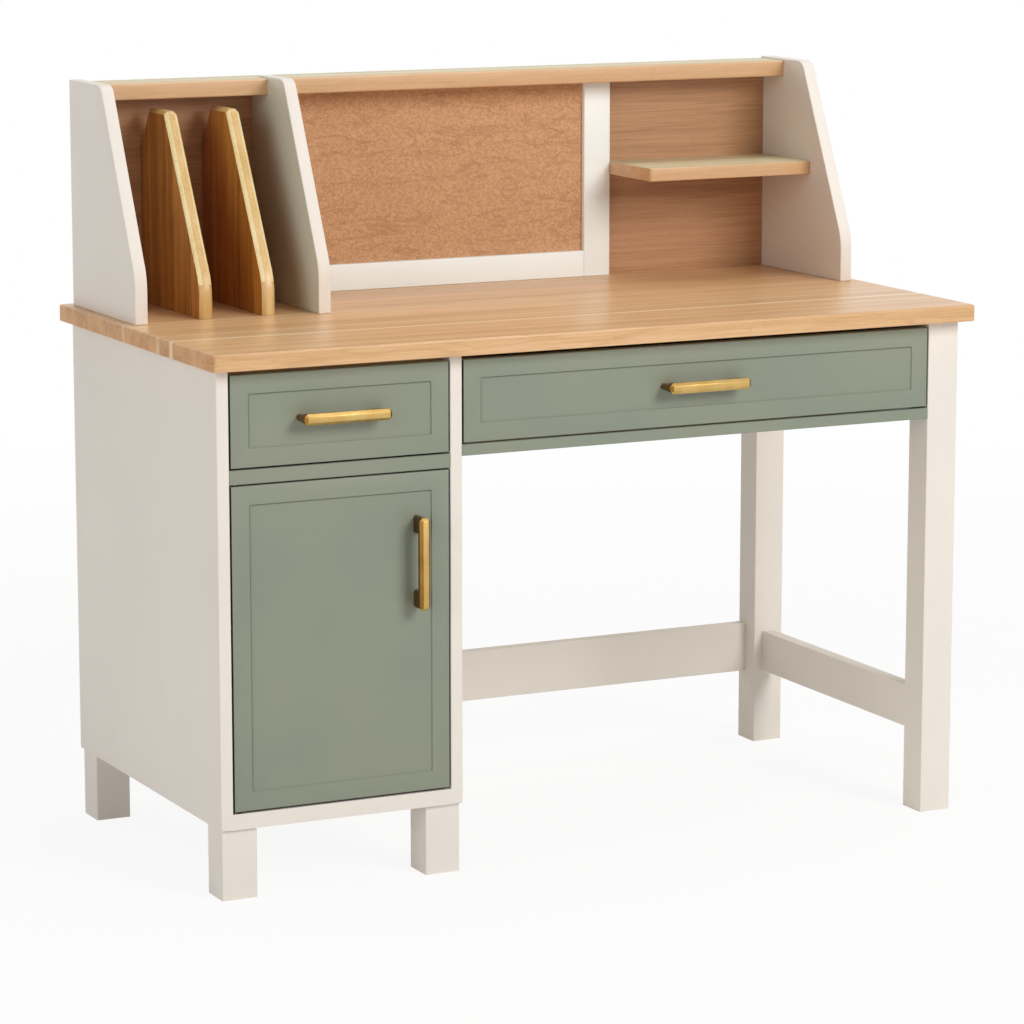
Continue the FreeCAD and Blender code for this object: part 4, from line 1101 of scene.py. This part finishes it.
@dataclass
class Hutch:
    """The hutch: shaped panels, top board, back panel, pinboard, shelf and paper dividers."""

    knee: float = mm(66)
    crown: float = mm(128)
    knee_round: float = mm(70)
    crown_round: float = mm(20)
    paper_knee: float = mm(50)
    paper_lean: float = mm(129)
    paper_crown: float = mm(66)
    paper_slant: float = mm(54)
    paper_round: float = mm(10)
    paper_bevel: float = mm(5)
    paper_edge: float = mm(0.6)
    paper_groove: float = mm(3)
    bevel_facing: float = 0.3
    top_round: float = mm(2.5)
    shelf_corner: float = mm(5)
    edge: float = mm(1.5)

    def build(self) -> None:
        """Build and dress the whole hutch."""
        self.panels()
        self.top_board()
        self.shelf()
        self.pinboard()
        for side in ("left", "right"):
            self.paper_divider(f"paper_divider_{side}")
        dress(BACK_OAK, "hutch_back_panel")

    def lean(self, blank: Blank, foot: Vector, head: Vector, radii: tuple[float, float]) -> None:
        """Saw the leaning front edge and round its two bends.

        Args:
            blank: the upright.
            foot: the bend at the foot, before rounding.
            head: the bend at the head, before rounding.
            radii: rounding at the foot and at the head.
        """
        edge = head - foot
        blank.saw(foot, Vector((0.0, -edge.z, edge.y)))
        tilt = math.atan2(edge.y, edge.z)
        for bend, radius, turn in zip((foot, head), radii, (tilt, math.pi / 2 - tilt)):
            blank.bevel(
                lambda middle, way: abs(way.x) > ALONG and (middle - bend).yz.length < NEAR,
                radius * math.tan(turn / 2),
                segments=10,
            )

    def panels(self) -> None:
        """The three white uprights, with the rebates and notches for back and top board."""
        top_low, top_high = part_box("hutch_top_board")
        back_low, back_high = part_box("hutch_back_panel")
        # The inner faces of the divider and of the right panel wear darker copies of the white:
        # painted shade.
        inner = {Upright.DIVIDER: SHADED_WHITE, Upright.RIGHT: PAINTED_SHADE_WHITE}
        for upright in Upright:
            node = f"hutch_{upright.value}_panel"
            low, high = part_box(node)
            low.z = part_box("desktop")[1].z
            blank = Blank(node + "_board", low, high)
            foot = Vector((0.0, low.y, low.z + self.knee))
            head = Vector((0.0, back_high.y - self.crown, high.z))
            self.lean(blank, foot, head, (self.knee_round, self.crown_round))
            blank.ease(self.edge)
            if upright is Upright.DIVIDER:
                notch = Vector((low.x - SLACK, (top_low.y + high.y) / 2, top_low.z))
                blank.carve(notch, high + Vector((SLACK, SLACK, SLACK)))
            else:
                blank.carve(back_low, back_high + Vector((0.0, SLACK, 0.0)))
                blank.carve(top_low, top_high)
            blank.deliver(Body.DESK, WHITE_PAINT, node)
            if upright in inner:
                blank.patch(inner[upright], lambda middle, normal: normal.x < -FACING)

    def top_board(self) -> None:
        """Top board with a rounded front, halved over the divider panel."""
        low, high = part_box("hutch_top_board")
        divider_low, divider_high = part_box("hutch_divider_panel")
        board = Blank("hutch_top_board_oak", low, high)
        board.bevel(
            lambda middle, way: abs(way.x) > ALONG and middle.y < low.y + TOUCH,
            self.top_round,
            segments=4,
        )
        board.carve(
            Vector((divider_low.x, low.y - SLACK, low.z - SLACK)),
            Vector((divider_high.x, (low.y + divider_high.y) / 2, high.z + SLACK)),
        )
        board.deliver(Body.DESK, BOARD_OAK, "hutch_top_board")
        board.patch(PALE_TOP_OAK, lambda middle, normal: normal.z > FACING)

    def shelf(self) -> None:
        """Short shelf with a rounded free corner."""
        low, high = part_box("hutch_shelf")
        shelf = Blank("hutch_shelf_oak", low, high)
        shelf.bevel(
            lambda middle, way: abs(way.z) > ALONG
            and middle.y < low.y + TOUCH
            and middle.x < low.x + TOUCH,
            self.shelf_corner,
            segments=5,
        )
        shelf.ease(self.edge)
        shelf.deliver(Body.DESK, BOARD_OAK, "hutch_shelf")
        shelf.patch(PALE_TOP_OAK, lambda middle, normal: normal.z > FACING)

    def pinboard(self) -> None:
        """White stile and rail, rebated over the cork."""
        cork_low, cork_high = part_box("cork_sheet")
        for node in ("pinboard_stile", "pinboard_rail"):
            blank = Blank(node + "_board", *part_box(node))
            blank.ease(self.edge)
            blank.carve(cork_low, cork_high + Vector((0.0, SLACK, 0.0)))
            # The stile and the rail wear the brighter white: painted light.
            blank.deliver(Body.DESK, PAINTED_LIGHT_WHITE, node)
        dress(CORK, "cork_sheet")

    def paper_divider(self, node: str) -> None:
        """A leaning paper divider with amber faces and pale edges.

        Args:
            node: the divider that it stands for.
        """
        low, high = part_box(node)
        high.y -= self.paper_groove
        blank = Blank(node + "_board", low, high)
        foot = Vector((0.0, low.y, low.z + self.paper_knee))
        head = Vector((0.0, low.y + self.paper_lean, high.z))
        self.lean(blank, foot, head, (self.knee_round, self.paper_round))
        crown_end = head + Vector((0.0, self.paper_crown, 0.0))
        slant = Vector((0.0, high.y, high.z - self.paper_slant)) - crown_end
        blank.saw(crown_end, Vector((0.0, -slant.z, slant.y)))
        blank.bevel(
            lambda middle, way: abs(way.x) < SQUARE
            and middle.z > low.z + NEAR
            and middle.y < high.y - NEAR,
            self.paper_bevel,
        )
        blank.ease(self.paper_edge, segments=2)
        blank.deliver(Body.DESK, GOLDEN_FACE, node)
        blank.patch(GOLDEN_EDGE, lambda middle, normal: abs(normal.x) < FACING)
        # The front bevels above the knee wear the near-white gold: a painted highlight.
        blank.patch(
            PAINTED_HIGHLIGHT_GOLD,
            lambda middle, normal: self.bevel_facing < abs(normal.x) < FACING
            and normal.y < -self.bevel_facing
            and middle.z > foot.z,
        )


# ---------------------------------------------------------------- studio
@dataclass(frozen=True)
class Lamp:
    """A square soft box: where it stands, its side, its power and its tint."""

    name: str
    place: tuple[float, float, float]
    size: float
    watts: float
    tint: str = "fffcf9"


@dataclass
class Studio:
    """Pale floor, white surround, soft lamps and the camera.

    Places and sizes are in metres, angles in radians and the sensor in millimetres.
    """

    floor_size: float = 40.0
    floor_tint: str = "f4f3f1"
    glow: float = 0.9
    near: float = 1.2
    far: float = 3.6
    ambient: float = 0.21
    lamps: tuple[Lamp, ...] = (
        Lamp("key", (1.95, -4.7, 3.3), 2.4, 196.0),
        Lamp("top", (0.6, 0.4, 4.2), 2.4, 54.0),
        Lamp("fill", (-4.6, -2.1, 1.6), 3.2, 70.0),
        Lamp("rear", (-2.4, 4.4, 2.8), 2.4, 45.0),
    )
    target: tuple[float, float, float] = (0.0, 0.0, 0.55)
    eye: tuple[float, float, float] = (-2.6040, -5.2708, 1.5199)
    yaw: float = math.radians(26.22)
    pitch: float = math.radians(-10.28)
    focal_pixels: float = 4051.0
    picture_pixels: float = 1024.0
    sensor: float = 36.0
    view_end: float = 100.0

    def build(self) -> None:
        """Set up floor, world, lamps, camera and the plain view transform."""
        self.floor()
        self.world()
        for lamp in self.lamps:
            self.light(lamp)
        self.camera()
        bpy.context.scene.view_settings.view_transform = "Standard"

    def seen(self, coat: Coat) -> bpy.types.NodeSocket:
        """A factor of 1 for rays that show the surround: from the camera, a gloss or a glass.

        Args:
            coat: the nodes of the floor or of the world.

        Returns:
            The factor's socket.
        """
        path = coat.add("LightPath").outputs
        seen = path["Is Camera Ray"]
        for name in ("Is Glossy Ray", "Is Transmission Ray"):
            seen = coat.add("Math", {0: seen, 1: path[name]}, operation="MAXIMUM").outputs["Value"]
        return seen

    def floor(self) -> None:
        """A pale floor that looks white and keeps the desk's soft shadow."""
        bpy.ops.object.select_all(action="DESELECT")
        bpy.ops.mesh.primitive_plane_add(size=self.floor_size)
        plane = bpy.context.object
        plane.name = "studio_floor"
        made = bpy.data.materials.new("studio_floor")
        coat = Coat(made)
        coat.tree.nodes.remove(coat.tree.nodes[SHADER])
        matt = coat.add("BsdfDiffuse", {"Color": colour(self.floor_tint)})
        white = coat.add("Emission", {"Strength": 1.0})
        reach = coat.add("VectorMath", {0: coat.place()}, operation="LENGTH")
        rise = {"From Min": self.near, "From Max": self.far, "To Min": self.glow}
        share = coat.add("MapRange", {"Value": reach, **rise})
        shown = coat.add("MixShader", {0: share, 1: matt, 2: white})
        mix = coat.add("MixShader", {0: self.seen(coat), 1: matt, 2: shown})
        coat.feed("Material Output", {"Surface": mix})
        plane.data.materials.append(made)

    def world(self) -> None:
        """White to the eye, softer as a light."""
        world = bpy.data.worlds.new("studio")
        bpy.context.scene.world = world
        coat = Coat(world)
        strength = coat.add("MapRange", {"Value": self.seen(coat), "To Min": self.ambient})
        coat.feed("Background", {"Color": colour("ffffff"), "Strength": strength})

    def light(self, lamp: Lamp) -> None:
        """Stand a soft box and turn it to the middle of the desk.

        Args:
            lamp: the soft box.
        """
        data = bpy.data.lights.new(lamp.name, "AREA")
        data.shape = "SQUARE"
        data.size = lamp.size
        data.energy = lamp.watts
        data.color = colour(lamp.tint)[:3]
        box = bpy.data.objects.new(lamp.name, data)
        box.location = lamp.place
        way = Vector(self.target) - Vector(lamp.place)
        box.rotation_euler = way.to_track_quat("-Z", "Y").to_euler()
        bpy.context.scene.collection.objects.link(box)

    def camera(self) -> None:
        """A long lens in front of the desk's left corner, a little above it."""
        data = bpy.data.cameras.new("camera")
        data.sensor_width = self.sensor
        data.lens = self.focal_pixels / self.picture_pixels * self.sensor
        data.clip_end = self.view_end
        camera = bpy.data.objects.new("camera", data)
        camera.location = self.eye
        camera.rotation_euler = (math.pi / 2 + self.pitch, 0.0, -self.yaw)
        bpy.context.scene.collection.objects.link(camera)
        bpy.context.scene.camera = camera


def main() -> None:
    """Build the desk's looks and the studio."""
    logging.basicConfig(level=logging.INFO, format="%(name)s: %(message)s")
    Desktop().build()
    Carcass().build()
    Drawer("small", Body.SMALL_DRAWER).build()
    Drawer("centre", Body.CENTRE_DRAWER).build()
    Cupboard().build()
    Hutch().build()
    Studio().build()


if __name__ == "__main__":
    main()
